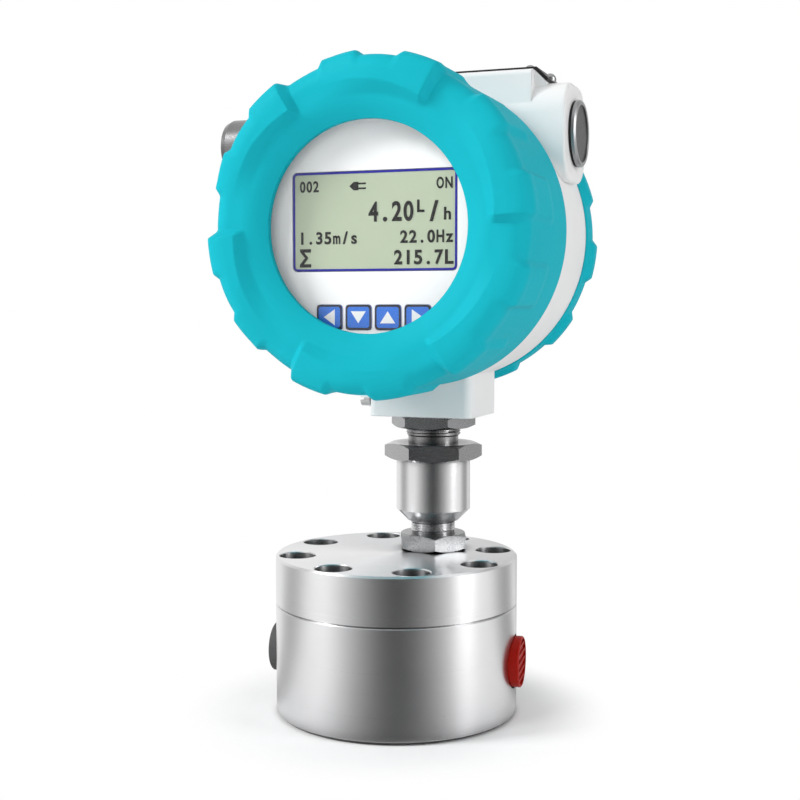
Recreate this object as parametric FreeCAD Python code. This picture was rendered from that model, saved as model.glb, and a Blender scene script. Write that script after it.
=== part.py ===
import FreeCAD, Part
import math
import os
from FreeCAD import Vector

# Gear flow meter with a pickup stem and a swivelling transmitter head.
# Millimetres. Origin at the centre of the base, +Z up, display towards -Y, ports along X.

# Meter block
BODY_DIAMETER = 90.0
BODY_HEIGHT = 40.5
LID_THICKNESS = 17.9
EDGE_CHAMFER = 0.7
SEAM_CHAMFER = 0.5

# Lid screws, M8 socket head
SCREW_COUNT = 8
SCREW_DIAMETER = 8.0
SCREW_HEAD_DIAMETER = 13.0
SCREW_HEAD_HEIGHT = 8.0
SCREW_SOCKET_FLATS = 6.0
SCREW_SOCKET_DEPTH = 4.0
SCREW_SUNK_BY = 3.0
SCREW_GRIP = 16.0
SCREW_EDGE_DISTANCE = 8.0
SCREW_HOLE_GAP = 0.5
TAP_RUNOUT = 3.0

# Measuring gears
GEAR_TEETH = 15
GEAR_MODULE = 1.5
GEAR_WIDTH = 10.0
GEAR_PRESSURE_ANGLE = math.radians(20)
GEAR_BACKLASH = 0.16
GEAR_DEDENDUM = 1.25
FLANK_POINTS = 6
SHAFT_DIAMETER = 6.0
SHAFT_EMBED = 8.0
SHAFT_EMBED_LID = 6.0
BUSH_WALL = 1.5

# Chamber seal
SEAL_WIDTH = 2.6
SEAL_DEPTH = 1.8
SEAL_LAND = 1.4

# Ports: G1/4 bore drawn at its core radius, running in to the feed hole, with an entry recess
PORT_HEIGHT = 20.0
PORT_RADIUS = 5.9
PORT_RECESS_RADIUS = 7.2
PORT_RECESS_DEPTH = 3.6
PORT_SPOT_DEPTH = 1.9
PORT_SPOT_MARGIN = 0.6
PORT_END_MARGIN = 1.0
FEED_OFFSET = 8.4
FEED_RADIUS = 2.5
FEED_SLOT_WIDTH = 6.0
FEED_SLOT_CORNER = 2.7

# Port plugs
PLUG_HEAD_RADIUS = 9.3
PLUG_HEAD_HEIGHT = 4.7
PLUG_RIM = 0.9
PLUG_DISH = 0.8
PLUG_SPIGOT_LENGTH = 3.2
PLUG_RIB_PITCH = 3.0
PLUG_RIB_WIDTH = 0.9
PLUG_RIB_SUNK_BY = 0.6
PLUG_RIB_HEIGHT = 1.2

# Pickup and stem, heights counted from the lid top
PICKUP_ANGLE = 10.0
PICKUP_THREAD_RADIUS = 8.0
PICKUP_FLOOR = 2.0
PICKUP_FLOOR_GAP = 0.5
PICKUP_SHAFT_WALL = 0.25
PICKUP_BORE_RADIUS = 5.5
PICKUP_NUT_FLATS = 24.0
PICKUP_NUT_HEIGHT = 6.2
PICKUP_NUT_TURN = 46.0
COIL_TOP = -2.0
COIL_FLANGE = 1.5
COIL_WAIST = 0.6
BARREL_RADIUS = 14.0
BARREL_START = 11.1
BARREL_CONE = 4.3
BARREL_TOP = 34.4
BARREL_CAVITY_RADIUS = 10.4
BARREL_CAVITY_DEPTH = 15.0
UNION_FLATS = 32.0
UNION_HEX_HEIGHT = 6.2
UNION_TURN = 13.5
UNION_SPIGOT = 6.0
UNION_BORE_RADIUS = 5.0
UNION_UNDERCUT = 2.6
UNION_UNDERCUT_DEPTH = 0.5
STEM_SEAL_DEPTH = 1.6
STEM_SEAL_START = 1.8
STEM_SEAL_HEIGHT = 2.2
NIPPLE_RADIUS = 10.0
NIPPLE_GAP_HEIGHT = 5.8
NIPPLE_ENGAGE = 14.0
HEAD_NUT_FLATS = 28.0
HEAD_NUT_HEIGHT = 4.8
HEAD_NUT_TURN = 2.0
NUT_CHAMFER = 1.1
NUT_CHAMFER_INSET = 0.2
BOARD_THICKNESS = 1.6
PICKUP_CHIP = (5.0, 4.0, 1.4)
PICKUP_CHIP_OFFSET = 6.0
MAGNET_RADIUS = 4.0
MAGNET_LENGTH = 8.0
WIRE_RADIUS = 0.5
CABLE_RADIUS = 2.5
CONNECTOR_SIZE = (7.2, 5.04, 12.0)
CONNECTOR_CORNER = 0.6
CONNECTOR_COLLAR = (0.4, 2.0)
CABLE_RISE = 4.0

# Transmitter head
HEAD_TURN = -6.0
NECK_DROP = 12.4
BAND_RADIUS = 54.3
BAND_DEPTH = 34.0
SPIGOT_STEP = 4.0
SPIGOT_LENGTH = 13.0
REAR_SPIGOT_LENGTH = 8.0
DRUM_WALL = 4.5
PARTITION_SETBACK = 5.0
PARTITION_THICKNESS = 4.0
NECK_WIDTH = 40.0
NECK_CORNER = 3.0
NECK_ROOT = 16.5
NECK_WALL = 3.0
ROOF_RISE = 3.2
ROOF_SETBACK = 12.3
ROOF_SLOPE = 4.2
ROOF_SLOPE_ANGLE = 45.0
ENTRY_INSET = 0.5
ENTRY_BOSS_HALF_HEIGHT = 17.4
ENTRY_BOSS_CORNER = 11.0
ENTRY_BOSS_ROUNDING = 1.0
ENTRY_THREAD_RADIUS = 10.0
ENTRY_THREAD_LENGTH = 12.0
ENTRY_HOLE_DEPTH = 26.0
WIRE_HOLE_RADIUS = 5.0
WIRE_HOLE_DROP = 14.0
CAST_FILLET = 2.0
CAST_STEP = 0.5

# Covers
COVER_GAP = 0.3
COVER_PROUD = 0.7
COVER_EDGE = 0.5
COVER_LENGTH = 55.9
COVER_ROUNDING = 4.0
CREST_OFFSET = 9.0
WINDOW_FALL = 3.9
WINDOW_SHOULDER = (3.0, 1.9)
COVER_LEDGE = 3.5
COVER_THREAD_RELIEF = 1.5
REAR_BODY_LENGTH = 8.0
REAR_BEVEL_LENGTH = 9.0
REAR_BEVEL_DROP = 6.0
REAR_CROWN = 1.0
REAR_WALL = 4.0
WINDOW_SURROUND = 20.0
WINDOW_LIP = 2.0
GLASS_LAP = 6.5
GLASS_EDGE = 0.3
GLASS_THICKNESS = 3.0
GASKET_THICKNESS = 0.6
GASKET_INSET = 1.5
RETAINER_HEIGHT = 2.0
RETAINER_INSET = 2.3
RETAINER_NOTCH = (2.5, 1.2)
PAD_COUNT = 6
PAD_START = 2.5
PAD_LIFT = 2.2
PAD_WIDTH = 11.2
PAD_SECTIONS = (
    (-3.5, 0.02, 0.8), (-1.2, 0.4, 0.92), (1, 0.8, 0.98), (4, 1.0, 1.0), (8, 1.0, 0.95),
    (15, 0.88, 0.8), (24, 0.62, 0.58), (33, 0.32, 0.35), (42, 0.05, 0.15),
)
PAD_TOP = (0.3, 0.72)
PAD_LEAN = 0.2
PAD_ROOT = 3.0
PAD_FOOT = 6.0
LUG_COUNT = 12
LUG_LIFT = 2.0
LUG_RISE = 0.6
LUG_HALF_ANGLE = 8.25
LUG_ROUNDING = 1.3
LUG_HEEL = 2.0
LUG_TOE = 4.2
LUG_START = 20.0
REAR_LUG_START = 2.7
REAR_LUG_TOE = 3.0
COVER_SEAL_WIDTH = 2.4
COVER_SEAL_THICKNESS = 1.2

# Entry fittings
FITTING_RADIUS = 11.9
FITTING_SEAL_THICKNESS = 1.0
BLANK_FLANGE = 1.6
BLANK_DISH = 0.5
GLAND_FLANGE = 9.0
GLAND_FLATS = 24.0
GLAND_NUT_RADIUS = 11.3
GLAND_NUT_LENGTH = 21.0
GLAND_BORE_RADIUS = 7.0
GLAND_CABLE_RADIUS = 3.5
GLAND_ROUNDING = 3.0
GLAND_NUT_WALL = 2.2
GLAND_THREAD_LENGTH = 13.0
GLAND_BODY_GAP = 0.5
GLAND_MOUTH = 1.5
GLAND_SEAT = 1.0
GLAND_SQUEEZE = 0.6
GLAND_CONE = 3.0
BLANK_RIM = 1.6
BLANK_SLOPE = 0.4
SEAL_INSET = 0.2

# Nameplate and earth terminal
NAMEPLATE_THICKNESS = 1.2
NAMEPLATE_DEPTH = 22.0
NAMEPLATE_SCREW_INSET = 3.3
NAMEPLATE_SCREW_SPREAD = 5.0
NAMEPLATE_SLOPE_SCREW = 2.3
NAMEPLATE_SLOPE_END = 4.0
NAMEPLATE_SEAT_MARGIN = 0.7
DOME_RADIUS = 2.2
DOME_HEIGHT = 1.7
SMALL_SCREW_RADIUS = 1.25
SMALL_SCREW_LENGTH = 5.0
GROUND_ABOVE_NECK = 6.3
GROUND_FORWARD = 12.0
GROUND_SLOT = 0.9
GROUND_HEAD_RADIUS = 2.8
GROUND_HEAD_HEIGHT = 3.2
GROUND_WASHER_RADIUS = 3.2
GROUND_WASHER_THICKNESS = 0.7

# Display
CARRIER_GAP = 1.0
CARRIER_WALL = 2.0
CARRIER_FLOOR = 2.5
CARRIER_HOLE = 9.0
PANEL_RECESS = 0.4
PANEL_THICKNESS = 1.5
BOARD_DEPTH = 15.0
BOARD_GAP = 1.5
BOARD_POST_RADIUS = 3.0
BOARD_POST_INSET = 3.5
BOARD_POST_LENGTH = 22.0
BOARD_CHIP = (10.0, 2.0)
BOARD_CHIP_PLACES = ((-12, 8), (14, -4))
BOARD_POST_ANGLES = (18, 162, 198, 342)
LCD_WIDTH = 58.3
LCD_HEIGHT = 33.0
LCD_RAISE = 2.3
LCD_CORNER = 1.6
LCD_THICKNESS = 3.2
LCD_SUNK_BY = 0.3
LCD_FRAME_WALL = 1.8
LCD_FRAME_LEDGE = 2.0
LCD_FRAME_TOP = 3.0
KEY_WIDTH = 9.1
KEY_HEIGHT = 8.2
KEY_PITCH = 10.5
KEY_TOP = -25.5
KEY_CORNER = 1.2
KEY_PROUD = 0.3
KEY_FLANGE = 0.6
KEY_FLANGE_THICKNESS = 1.2
KEY_STEM_RADIUS = 1.5
KEY_TRAVEL = 0.6
KEY_PLAY = 0.1
SWITCH_SIZE = 6.0
SWITCH_HEIGHT = 3.4
SWITCH_BUTTON_RADIUS = 1.7
SWITCH_BUTTON_HEIGHT = 0.4
STANDOFF_RADIUS = 3.0
STANDOFF_INSET = 14.5
STANDOFF_COUNT = 3
CARRIER_STANDOFF_START = 90.0
PAN_HEAD = (2.4, 1.8, 0.8)
FLAT_HEAD = (2.2, 1.6, 0.7)

# Terminals
TERMINAL_BOARD_GAP = 6.5
TERMINAL_STANDOFF = 5.0
TERMINAL_STANDOFF_START = -90.0
TERMINAL_BLOCK = (36.0, 10.0, 11.0)
TERMINAL_BLOCK_SPREAD = 15.0
TERMINALS_PER_BLOCK = 6
TERMINAL_SCREW_RADIUS = 2.2
TERMINAL_SCREW_HEIGHT = 2.0
TERMINAL_WELL_DEPTH = 3.0
TERMINAL_SLOT = (0.7, 0.8)

# Small edges and overlaps
THREAD_CHAMFER = 0.8
HEAD_CHAMFER = 0.6
FINE_CHAMFER = 0.3
PLUG_CHAMFER = 0.4
SMALL_CORNER = 0.4
BLOCK_CORNER = 0.6
SPIGOT_CHAMFER = 1.0
SLOT_START = 0.55
SEAL_SOFTNESS = 0.3
OVERCUT = 1.0
ROOT = 0.2

# Clearances
THREAD_GAP = 0.05
PRESS_GAP = 0.01
RUNNING_GAP = 0.03
CHAMBER_GAP = 0.15
END_GAP = 0.1
SLIDE_GAP = 0.2
FACE_GAP = 0.05

# Sizes that follow from those above
BODY_RADIUS = BODY_DIAMETER / 2
LID_TOP = BODY_HEIGHT + LID_THICKNESS
SCREW_CIRCLE = BODY_RADIUS - SCREW_EDGE_DISTANCE
PITCH_RADIUS = GEAR_MODULE * GEAR_TEETH / 2
TIP_RADIUS = PITCH_RADIUS + GEAR_MODULE
ROOT_RADIUS = PITCH_RADIUS - GEAR_DEDENDUM * GEAR_MODULE
CHAMBER_DEPTH = GEAR_WIDTH + 2 * END_GAP
CHAMBER_FLOOR = BODY_HEIGHT - CHAMBER_DEPTH
SEAL_INNER = PITCH_RADIUS + TIP_RADIUS + CHAMBER_GAP + SEAL_LAND
PICKUP_DEPTH = LID_THICKNESS - PICKUP_FLOOR - PICKUP_FLOOR_GAP
PICKUP_OFFSET = SHAFT_DIAMETER / 2 + PICKUP_THREAD_RADIUS + PICKUP_SHAFT_WALL
STEM_X = PICKUP_OFFSET * math.cos(math.radians(PICKUP_ANGLE))
STEM_Y = PITCH_RADIUS + PICKUP_OFFSET * math.sin(math.radians(PICKUP_ANGLE))
UNION_TOP = BARREL_TOP + UNION_HEX_HEIGHT
HEAD_NUT_BOTTOM = UNION_TOP + NIPPLE_GAP_HEIGHT
NECK_BOTTOM = HEAD_NUT_BOTTOM + HEAD_NUT_HEIGHT
AXIS_ABOVE_NECK = BAND_RADIUS + NECK_DROP
HEAD_HEIGHT = LID_TOP + NECK_BOTTOM + AXIS_ABOVE_NECK
BAND_HALF = BAND_DEPTH / 2
SPIGOT_RADIUS = BAND_RADIUS - SPIGOT_STEP
SPIGOT_END = BAND_HALF + SPIGOT_LENGTH
REAR_SPIGOT_END = BAND_HALF + REAR_SPIGOT_LENGTH
CAVITY_RADIUS = SPIGOT_RADIUS - DRUM_WALL
CABLE_TOP = NECK_BOTTOM + AXIS_ABOVE_NECK - CAVITY_RADIUS + CABLE_RISE
PARTITION_BACK = PARTITION_SETBACK - BAND_HALF
PARTITION_FRONT = PARTITION_BACK + PARTITION_THICKNESS
ROOF_HEIGHT = BAND_RADIUS + ROOF_RISE
ENTRY_REACH = BAND_RADIUS - ENTRY_INSET
ROOF_HALF_WIDTH = ENTRY_REACH - ROOF_SETBACK
ENTRY_HEIGHT = ROOF_HEIGHT - ROOF_SLOPE - ENTRY_BOSS_HALF_HEIGHT
COVER_START = BAND_HALF + COVER_GAP
COVER_RADIUS = BAND_RADIUS + COVER_PROUD
COVER_BORE_RADIUS = SPIGOT_RADIUS - COVER_LEDGE
COVER_FRONT = COVER_START + COVER_LENGTH
REAR_SHOULDER = COVER_START + REAR_BODY_LENGTH
REAR_FACE = REAR_SHOULDER + REAR_BEVEL_LENGTH + REAR_CROWN
WINDOW_RADIUS = COVER_RADIUS - WINDOW_SURROUND
CREST_RADIUS = WINDOW_RADIUS + CREST_OFFSET
GLASS_RADIUS = WINDOW_RADIUS + GLASS_LAP
GLASS_BORE_RADIUS = GLASS_RADIUS + GLASS_EDGE
WINDOW_EDGE = COVER_FRONT - WINDOW_FALL
GASKET_FRONT = WINDOW_EDGE - WINDOW_LIP
GLASS_FRONT = GASKET_FRONT - GASKET_THICKNESS
RETAINER_FRONT = GLASS_FRONT - GLASS_THICKNESS
RETAINER_BACK = RETAINER_FRONT - RETAINER_HEIGHT
PANEL_FRONT = RETAINER_BACK - PANEL_RECESS
PANEL_BACK = PANEL_FRONT - PANEL_THICKNESS
BOARD_BACK = PANEL_FRONT - BOARD_DEPTH
BOARD_FRONT = BOARD_BACK + BOARD_THICKNESS
CARRIER_BACK = BOARD_BACK - BOARD_POST_LENGTH
CARRIER_RADIUS = CAVITY_RADIUS - CARRIER_GAP
CARRIER_INSIDE = CARRIER_RADIUS - CARRIER_WALL
BOARD_RADIUS = CARRIER_INSIDE - BOARD_GAP
BOARD_POST_CIRCLE = BOARD_RADIUS - BOARD_POST_INSET
STANDOFF_CIRCLE = CAVITY_RADIUS - STANDOFF_INSET
TERMINAL_SEAT = PARTITION_BACK - TERMINAL_STANDOFF
TERMINAL_BASE = TERMINAL_SEAT - BOARD_THICKNESS
SMALL_HOLE_RADIUS = SMALL_SCREW_RADIUS + THREAD_GAP
KEY_CENTRE_HEIGHT = KEY_TOP - KEY_HEIGHT / 2
UP = Vector(0, 0, 1)


# Building helpers

def turned(points):
    outline = [Vector(radius, 0, height) for radius, height in points]
    outline.append(outline[0])
    return Part.Face(Part.makePolygon(outline)).revolve(Vector(), UP, 360)


def disc(radius, bottom, top):
    return Part.makeCylinder(radius, top - bottom, Vector(0, 0, bottom))


def ring(outer, inner, bottom, top):
    return disc(outer, bottom, top).cut(disc(inner, bottom - OVERCUT, top + OVERCUT))


def moved(shape, x, y, z=0):
    copy = shape.copy()
    copy.translate(Vector(x, y, z))
    return copy


def spun(shape, angle, axis=UP):
    copy = shape.copy()
    copy.rotate(Vector(), axis, angle)
    return copy


def around(shape, count, start=0.0):
    return [spun(shape, start + 360 / count * index) for index in range(count)]


def slab(width, height, corner, bottom, top):
    block = Part.makeBox(width, height, top - bottom, Vector(-width / 2, -height / 2, bottom))
    if corner <= 0:
        return block
    upright = [edge for edge in block.Edges if abs(edge.tangentAt(edge.FirstParameter).z) > 0.9]
    return block.makeFillet(corner, upright)


def hexagon(flats, bottom, top, turn=0.0):
    corner = flats / math.sqrt(3)
    angles = [math.radians(turn + 60 * index) for index in range(7)]
    points = [Vector(corner * math.cos(a), corner * math.sin(a), bottom) for a in angles]
    return Part.Face(Part.makePolygon(points)).extrude(Vector(0, 0, top - bottom))


def chamfered_hexagon(flats, bottom, top, turn):
    corner = flats / math.sqrt(3)
    flat = flats / 2 - NUT_CHAMFER_INSET
    envelope = turned((
        (0, bottom), (flat, bottom), (corner, bottom + NUT_CHAMFER),
        (corner, top - NUT_CHAMFER), (flat, top), (0, top),
    ))
    return hexagon(flats, bottom, top, turn).common(envelope)


def soft_ring(inner, outer, bottom, top):
    soft = min(outer - inner, top - bottom) * SEAL_SOFTNESS
    return turned((
        (inner + soft, bottom), (outer - soft, bottom), (outer, bottom + soft), (outer, top - soft),
        (outer - soft, top), (inner + soft, top), (inner, top - soft), (inner, bottom + soft),
    ))


def small_screw(head_radius, head_height, slot_width):
    solid = disc(SMALL_SCREW_RADIUS, -SMALL_SCREW_LENGTH, 0).fuse(disc(head_radius, 0, head_height))
    slot = slab(2 * (head_radius + OVERCUT), slot_width, 0, head_height * SLOT_START, head_height + OVERCUT)
    return solid.cut(slot).removeSplitter()


def joined(shapes):
    return shapes[0].multiFuse(shapes[1:]).removeSplitter()


def on_stem(shape):
    return moved(shape, STEM_X, STEM_Y, LID_TOP)


# Head pieces are drawn facing the reader: x right, y up, z out of the display.
def on_head(shape):
    placed = spun(spun(shape, 90, Vector(1, 0, 0)), HEAD_TURN)
    return moved(placed, STEM_X, STEM_Y, HEAD_HEIGHT)


def facing_right(shape):
    return spun(shape, 90, Vector(0, 1, 0))


def facing_left(shape):
    return spun(shape, -90, Vector(0, 1, 0))


# Meter block

def port_cutter():
    spot = BODY_RADIUS - PORT_SPOT_DEPTH
    recess = spot - PORT_RECESS_DEPTH
    inner_end = FEED_OFFSET - FEED_RADIUS - PORT_END_MARGIN
    spot_radius = PLUG_HEAD_RADIUS + PORT_SPOT_MARGIN
    return turned((
        (0, inner_end), (PORT_RADIUS, inner_end), (PORT_RADIUS, recess), (PORT_RECESS_RADIUS, recess),
        (PORT_RECESS_RADIUS, spot), (spot_radius, spot), (spot_radius, BODY_RADIUS + OVERCUT),
        (0, BODY_RADIUS + OVERCUT),
    ))


def make_meter_body():
    block = turned((
        (0, 0), (BODY_RADIUS - EDGE_CHAMFER, 0), (BODY_RADIUS, EDGE_CHAMFER),
        (BODY_RADIUS, BODY_HEIGHT - SEAM_CHAMFER), (BODY_RADIUS - SEAM_CHAMFER, BODY_HEIGHT),
        (0, BODY_HEIGHT),
    ))
    above = BODY_HEIGHT + OVERCUT
    pocket = disc(TIP_RADIUS + CHAMBER_GAP, CHAMBER_FLOOR, above)
    slot_length = 2 * FEED_OFFSET + FEED_SLOT_WIDTH / 2
    feed_slot = slab(slot_length, FEED_SLOT_WIDTH, FEED_SLOT_CORNER, CHAMBER_FLOOR, above)
    feed_hole = disc(FEED_RADIUS, PORT_HEIGHT, CHAMBER_FLOOR + OVERCUT)
    shaft_hole = disc(SHAFT_DIAMETER / 2 + PRESS_GAP, CHAMBER_FLOOR - SHAFT_EMBED, BODY_HEIGHT)
    cutters = [feed_slot]
    for side in (-1, 1):
        cutters.append(moved(pocket, 0, side * PITCH_RADIUS))
        cutters.append(moved(shaft_hole, 0, side * PITCH_RADIUS))
        cutters.append(moved(feed_hole, side * FEED_OFFSET, 0))
    groove_outer = SEAL_INNER + SEAL_WIDTH + SLIDE_GAP
    cutters.append(ring(groove_outer, SEAL_INNER - SLIDE_GAP, BODY_HEIGHT - SEAL_DEPTH, above))
    tapped = disc(SCREW_DIAMETER / 2 + THREAD_GAP, BODY_HEIGHT - SCREW_GRIP - TAP_RUNOUT, above)
    cutters += around(moved(tapped, SCREW_CIRCLE, 0), SCREW_COUNT, 180 / SCREW_COUNT)
    cutters.append(moved(facing_right(port_cutter()), 0, 0, PORT_HEIGHT))
    cutters.append(moved(facing_left(port_cutter()), 0, 0, PORT_HEIGHT))
    return block.cut(cutters)


def make_meter_lid():
    plate = turned((
        (0, BODY_HEIGHT), (BODY_RADIUS - SEAM_CHAMFER, BODY_HEIGHT),
        (BODY_RADIUS, BODY_HEIGHT + SEAM_CHAMFER), (BODY_RADIUS, LID_TOP - EDGE_CHAMFER),
        (BODY_RADIUS - EDGE_CHAMFER, LID_TOP), (0, LID_TOP),
    ))
    head_radius = SCREW_HEAD_DIAMETER / 2 + SLIDE_GAP
    mouth_radius = head_radius + FINE_CHAMFER
    hole_radius = SCREW_DIAMETER / 2 + SCREW_HOLE_GAP
    seat = LID_TOP - SCREW_SUNK_BY - SCREW_HEAD_HEIGHT
    below = BODY_HEIGHT - OVERCUT
    above = LID_TOP + OVERCUT
    counterbore = turned((
        (0, below), (hole_radius, below), (hole_radius, seat), (head_radius, seat),
        (head_radius, LID_TOP - FINE_CHAMFER), (mouth_radius, LID_TOP), (mouth_radius, above), (0, above),
    ))
    cutters = around(moved(counterbore, SCREW_CIRCLE, 0), SCREW_COUNT, 180 / SCREW_COUNT)
    shaft_hole = disc(SHAFT_DIAMETER / 2 + PRESS_GAP, below, BODY_HEIGHT + SHAFT_EMBED_LID)
    for side in (-1, 1):
        cutters.append(moved(shaft_hole, 0, side * PITCH_RADIUS))
    blind = disc(PICKUP_THREAD_RADIUS + THREAD_GAP, LID_TOP - PICKUP_DEPTH - PICKUP_FLOOR_GAP, above)
    cutters.append(moved(blind, STEM_X, STEM_Y))
    return plate.cut(cutters)


def make_lid_screws():
    seat = LID_TOP - SCREW_SUNK_BY - SCREW_HEAD_HEIGHT
    top = seat + SCREW_HEAD_HEIGHT
    tip = BODY_HEIGHT - SCREW_GRIP
    head_radius = SCREW_HEAD_DIAMETER / 2
    radius = SCREW_DIAMETER / 2
    solid = turned((
        (0, tip), (radius - THREAD_CHAMFER, tip), (radius, tip + THREAD_CHAMFER), (radius, seat),
        (head_radius, seat), (head_radius, top - HEAD_CHAMFER), (head_radius - HEAD_CHAMFER, top), (0, top),
    ))
    solid = solid.cut(hexagon(SCREW_SOCKET_FLATS, top - SCREW_SOCKET_DEPTH, top + OVERCUT))
    return Part.makeCompound(around(moved(solid, SCREW_CIRCLE, 0), SCREW_COUNT, 180 / SCREW_COUNT))


def make_chamber_seal():
    return soft_ring(SEAL_INNER, SEAL_INNER + SEAL_WIDTH, BODY_HEIGHT - SEAL_DEPTH, BODY_HEIGHT)


# Involute gear: flanks from the involute formula, round tip and root arcs

def involute(angle):
    return math.tan(angle) - angle


def gear_point(radius, angle):
    return Vector(radius * math.cos(angle), radius * math.sin(angle), 0)


def flank_angle(radius):
    base_radius = PITCH_RADIUS * math.cos(GEAR_PRESSURE_ANGLE)
    half_tooth = math.pi / (2 * GEAR_TEETH) - GEAR_BACKLASH / (4 * PITCH_RADIUS)
    return half_tooth + involute(GEAR_PRESSURE_ANGLE) - involute(math.acos(min(1.0, base_radius / radius)))


def flank(start, end, middle, side):
    step = (end - start) / (FLANK_POINTS - 1)
    radii = [start + step * index for index in range(FLANK_POINTS)]
    curve = Part.BSplineCurve()
    curve.interpolate([gear_point(radius, middle + side * flank_angle(radius)) for radius in radii])
    return curve.toShape()


def gear_outline(first_tooth):
    base_radius = PITCH_RADIUS * math.cos(GEAR_PRESSURE_ANGLE)
    pitch = 2 * math.pi / GEAR_TEETH
    foot = flank_angle(base_radius)
    tip = flank_angle(TIP_RADIUS)
    edges = []
    for index in range(GEAR_TEETH):
        middle = first_tooth + pitch * index
        following = middle + pitch
        edges.append(Part.makeLine(gear_point(ROOT_RADIUS, middle - foot),
                                   gear_point(base_radius, middle - foot)))
        edges.append(flank(base_radius, TIP_RADIUS, middle, -1))
        edges.append(Part.Arc(gear_point(TIP_RADIUS, middle - tip), gear_point(TIP_RADIUS, middle),
                              gear_point(TIP_RADIUS, middle + tip)).toShape())
        edges.append(flank(TIP_RADIUS, base_radius, middle, 1))
        edges.append(Part.makeLine(gear_point(base_radius, middle + foot),
                                   gear_point(ROOT_RADIUS, middle + foot)))
        edges.append(Part.Arc(gear_point(ROOT_RADIUS, middle + foot),
                              gear_point(ROOT_RADIUS, middle + pitch / 2),
                              gear_point(ROOT_RADIUS, following - foot)).toShape())
    return Part.Wire(edges)


def make_gear(side):
    half_step = 0 if side < 0 else math.pi / GEAR_TEETH
    solid = Part.Face(gear_outline(-side * math.pi / 2 + half_step)).extrude(Vector(0, 0, GEAR_WIDTH))
    bore = disc(SHAFT_DIAMETER / 2 + BUSH_WALL, -OVERCUT, GEAR_WIDTH + OVERCUT)
    return moved(solid.cut(bore), 0, side * PITCH_RADIUS, CHAMBER_FLOOR + END_GAP)


def make_gear_bush(side):
    outer = SHAFT_DIAMETER / 2 + BUSH_WALL - PRESS_GAP
    solid = ring(outer, SHAFT_DIAMETER / 2 + RUNNING_GAP, 0, GEAR_WIDTH)
    return moved(solid, 0, side * PITCH_RADIUS, CHAMBER_FLOOR + END_GAP)


def make_gear_shaft(side):
    solid = disc(SHAFT_DIAMETER / 2, CHAMBER_FLOOR - SHAFT_EMBED, BODY_HEIGHT + SHAFT_EMBED_LID)
    return moved(solid, 0, side * PITCH_RADIUS)


# Port plugs with a thin rim and a ribbed end

def make_port_plug():
    seat = BODY_RADIUS - PORT_SPOT_DEPTH
    face = seat + PLUG_HEAD_HEIGHT
    tip = seat - PLUG_SPIGOT_LENGTH
    inner = PLUG_HEAD_RADIUS - PLUG_RIM
    spigot = PORT_RECESS_RADIUS - RUNNING_GAP
    solid = turned((
        (0, tip), (spigot - THREAD_CHAMFER, tip), (spigot, tip + THREAD_CHAMFER), (spigot, seat),
        (PLUG_HEAD_RADIUS, seat), (PLUG_HEAD_RADIUS, face - PLUG_CHAMFER),
        (PLUG_HEAD_RADIUS - PLUG_CHAMFER, face), (inner, face), (inner, face - PLUG_DISH),
        (0, face - PLUG_DISH),
    ))
    rib_foot = face - PLUG_DISH - PLUG_RIB_SUNK_BY
    rib = slab(PLUG_RIB_WIDTH, 2 * inner, 0, rib_foot, rib_foot + PLUG_RIB_HEIGHT)
    reach = int(inner / PLUG_RIB_PITCH)
    ribs = [moved(rib, index * PLUG_RIB_PITCH, 0) for index in range(-reach, reach + 1)]
    ribbed = joined(ribs).common(disc(inner + ROOT, rib_foot, face))
    return solid.fuse(ribbed).removeSplitter()


# Pickup and stem, drawn on their own axis with z counted from the lid top

def make_pickup_tube():
    cone_end = BARREL_START + BARREL_CONE
    cavity = BARREL_TOP - BARREL_CAVITY_DEPTH
    thread = PICKUP_THREAD_RADIUS
    return turned((
        (PICKUP_BORE_RADIUS, -PICKUP_DEPTH), (thread - THREAD_CHAMFER, -PICKUP_DEPTH),
        (thread, THREAD_CHAMFER - PICKUP_DEPTH), (thread, BARREL_START),
        (BARREL_RADIUS - BARREL_CONE, BARREL_START), (BARREL_RADIUS, cone_end),
        (BARREL_RADIUS, BARREL_TOP - FINE_CHAMFER), (BARREL_RADIUS - FINE_CHAMFER, BARREL_TOP),
        (BARREL_CAVITY_RADIUS, BARREL_TOP), (BARREL_CAVITY_RADIUS, cavity), (PICKUP_BORE_RADIUS, cavity),
    ))


def make_pickup_coil():
    outer = PICKUP_BORE_RADIUS - THREAD_GAP
    waist = outer - COIL_WAIST
    bottom = -PICKUP_DEPTH
    flange = COIL_TOP - COIL_FLANGE
    return turned((
        (0, bottom), (outer, bottom), (outer, bottom + COIL_FLANGE), (waist, bottom + COIL_FLANGE),
        (waist, flange), (outer, flange), (outer, COIL_TOP), (0, COIL_TOP),
    ))


def make_pickup_magnet():
    return disc(MAGNET_RADIUS, COIL_TOP, COIL_TOP + MAGNET_LENGTH)


def make_pickup_wires():
    top = BARREL_TOP - BARREL_CAVITY_DEPTH
    offset = (MAGNET_RADIUS + PICKUP_BORE_RADIUS) / 2
    wire = disc(WIRE_RADIUS, COIL_TOP, top)
    return Part.makeCompound([moved(wire, side * offset, 0) for side in (-1, 1)])


def make_pickup_board():
    bottom = BARREL_TOP - BARREL_CAVITY_DEPTH
    top = bottom + BOARD_THICKNESS
    board = disc(BARREL_CAVITY_RADIUS - SLIDE_GAP, bottom, top)
    width, height, thickness = PICKUP_CHIP
    chip = slab(width, height, SMALL_CORNER, top - ROOT, top + thickness)
    return joined([board] + [moved(chip, 0, side * PICKUP_CHIP_OFFSET) for side in (-1, 1)])


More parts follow.
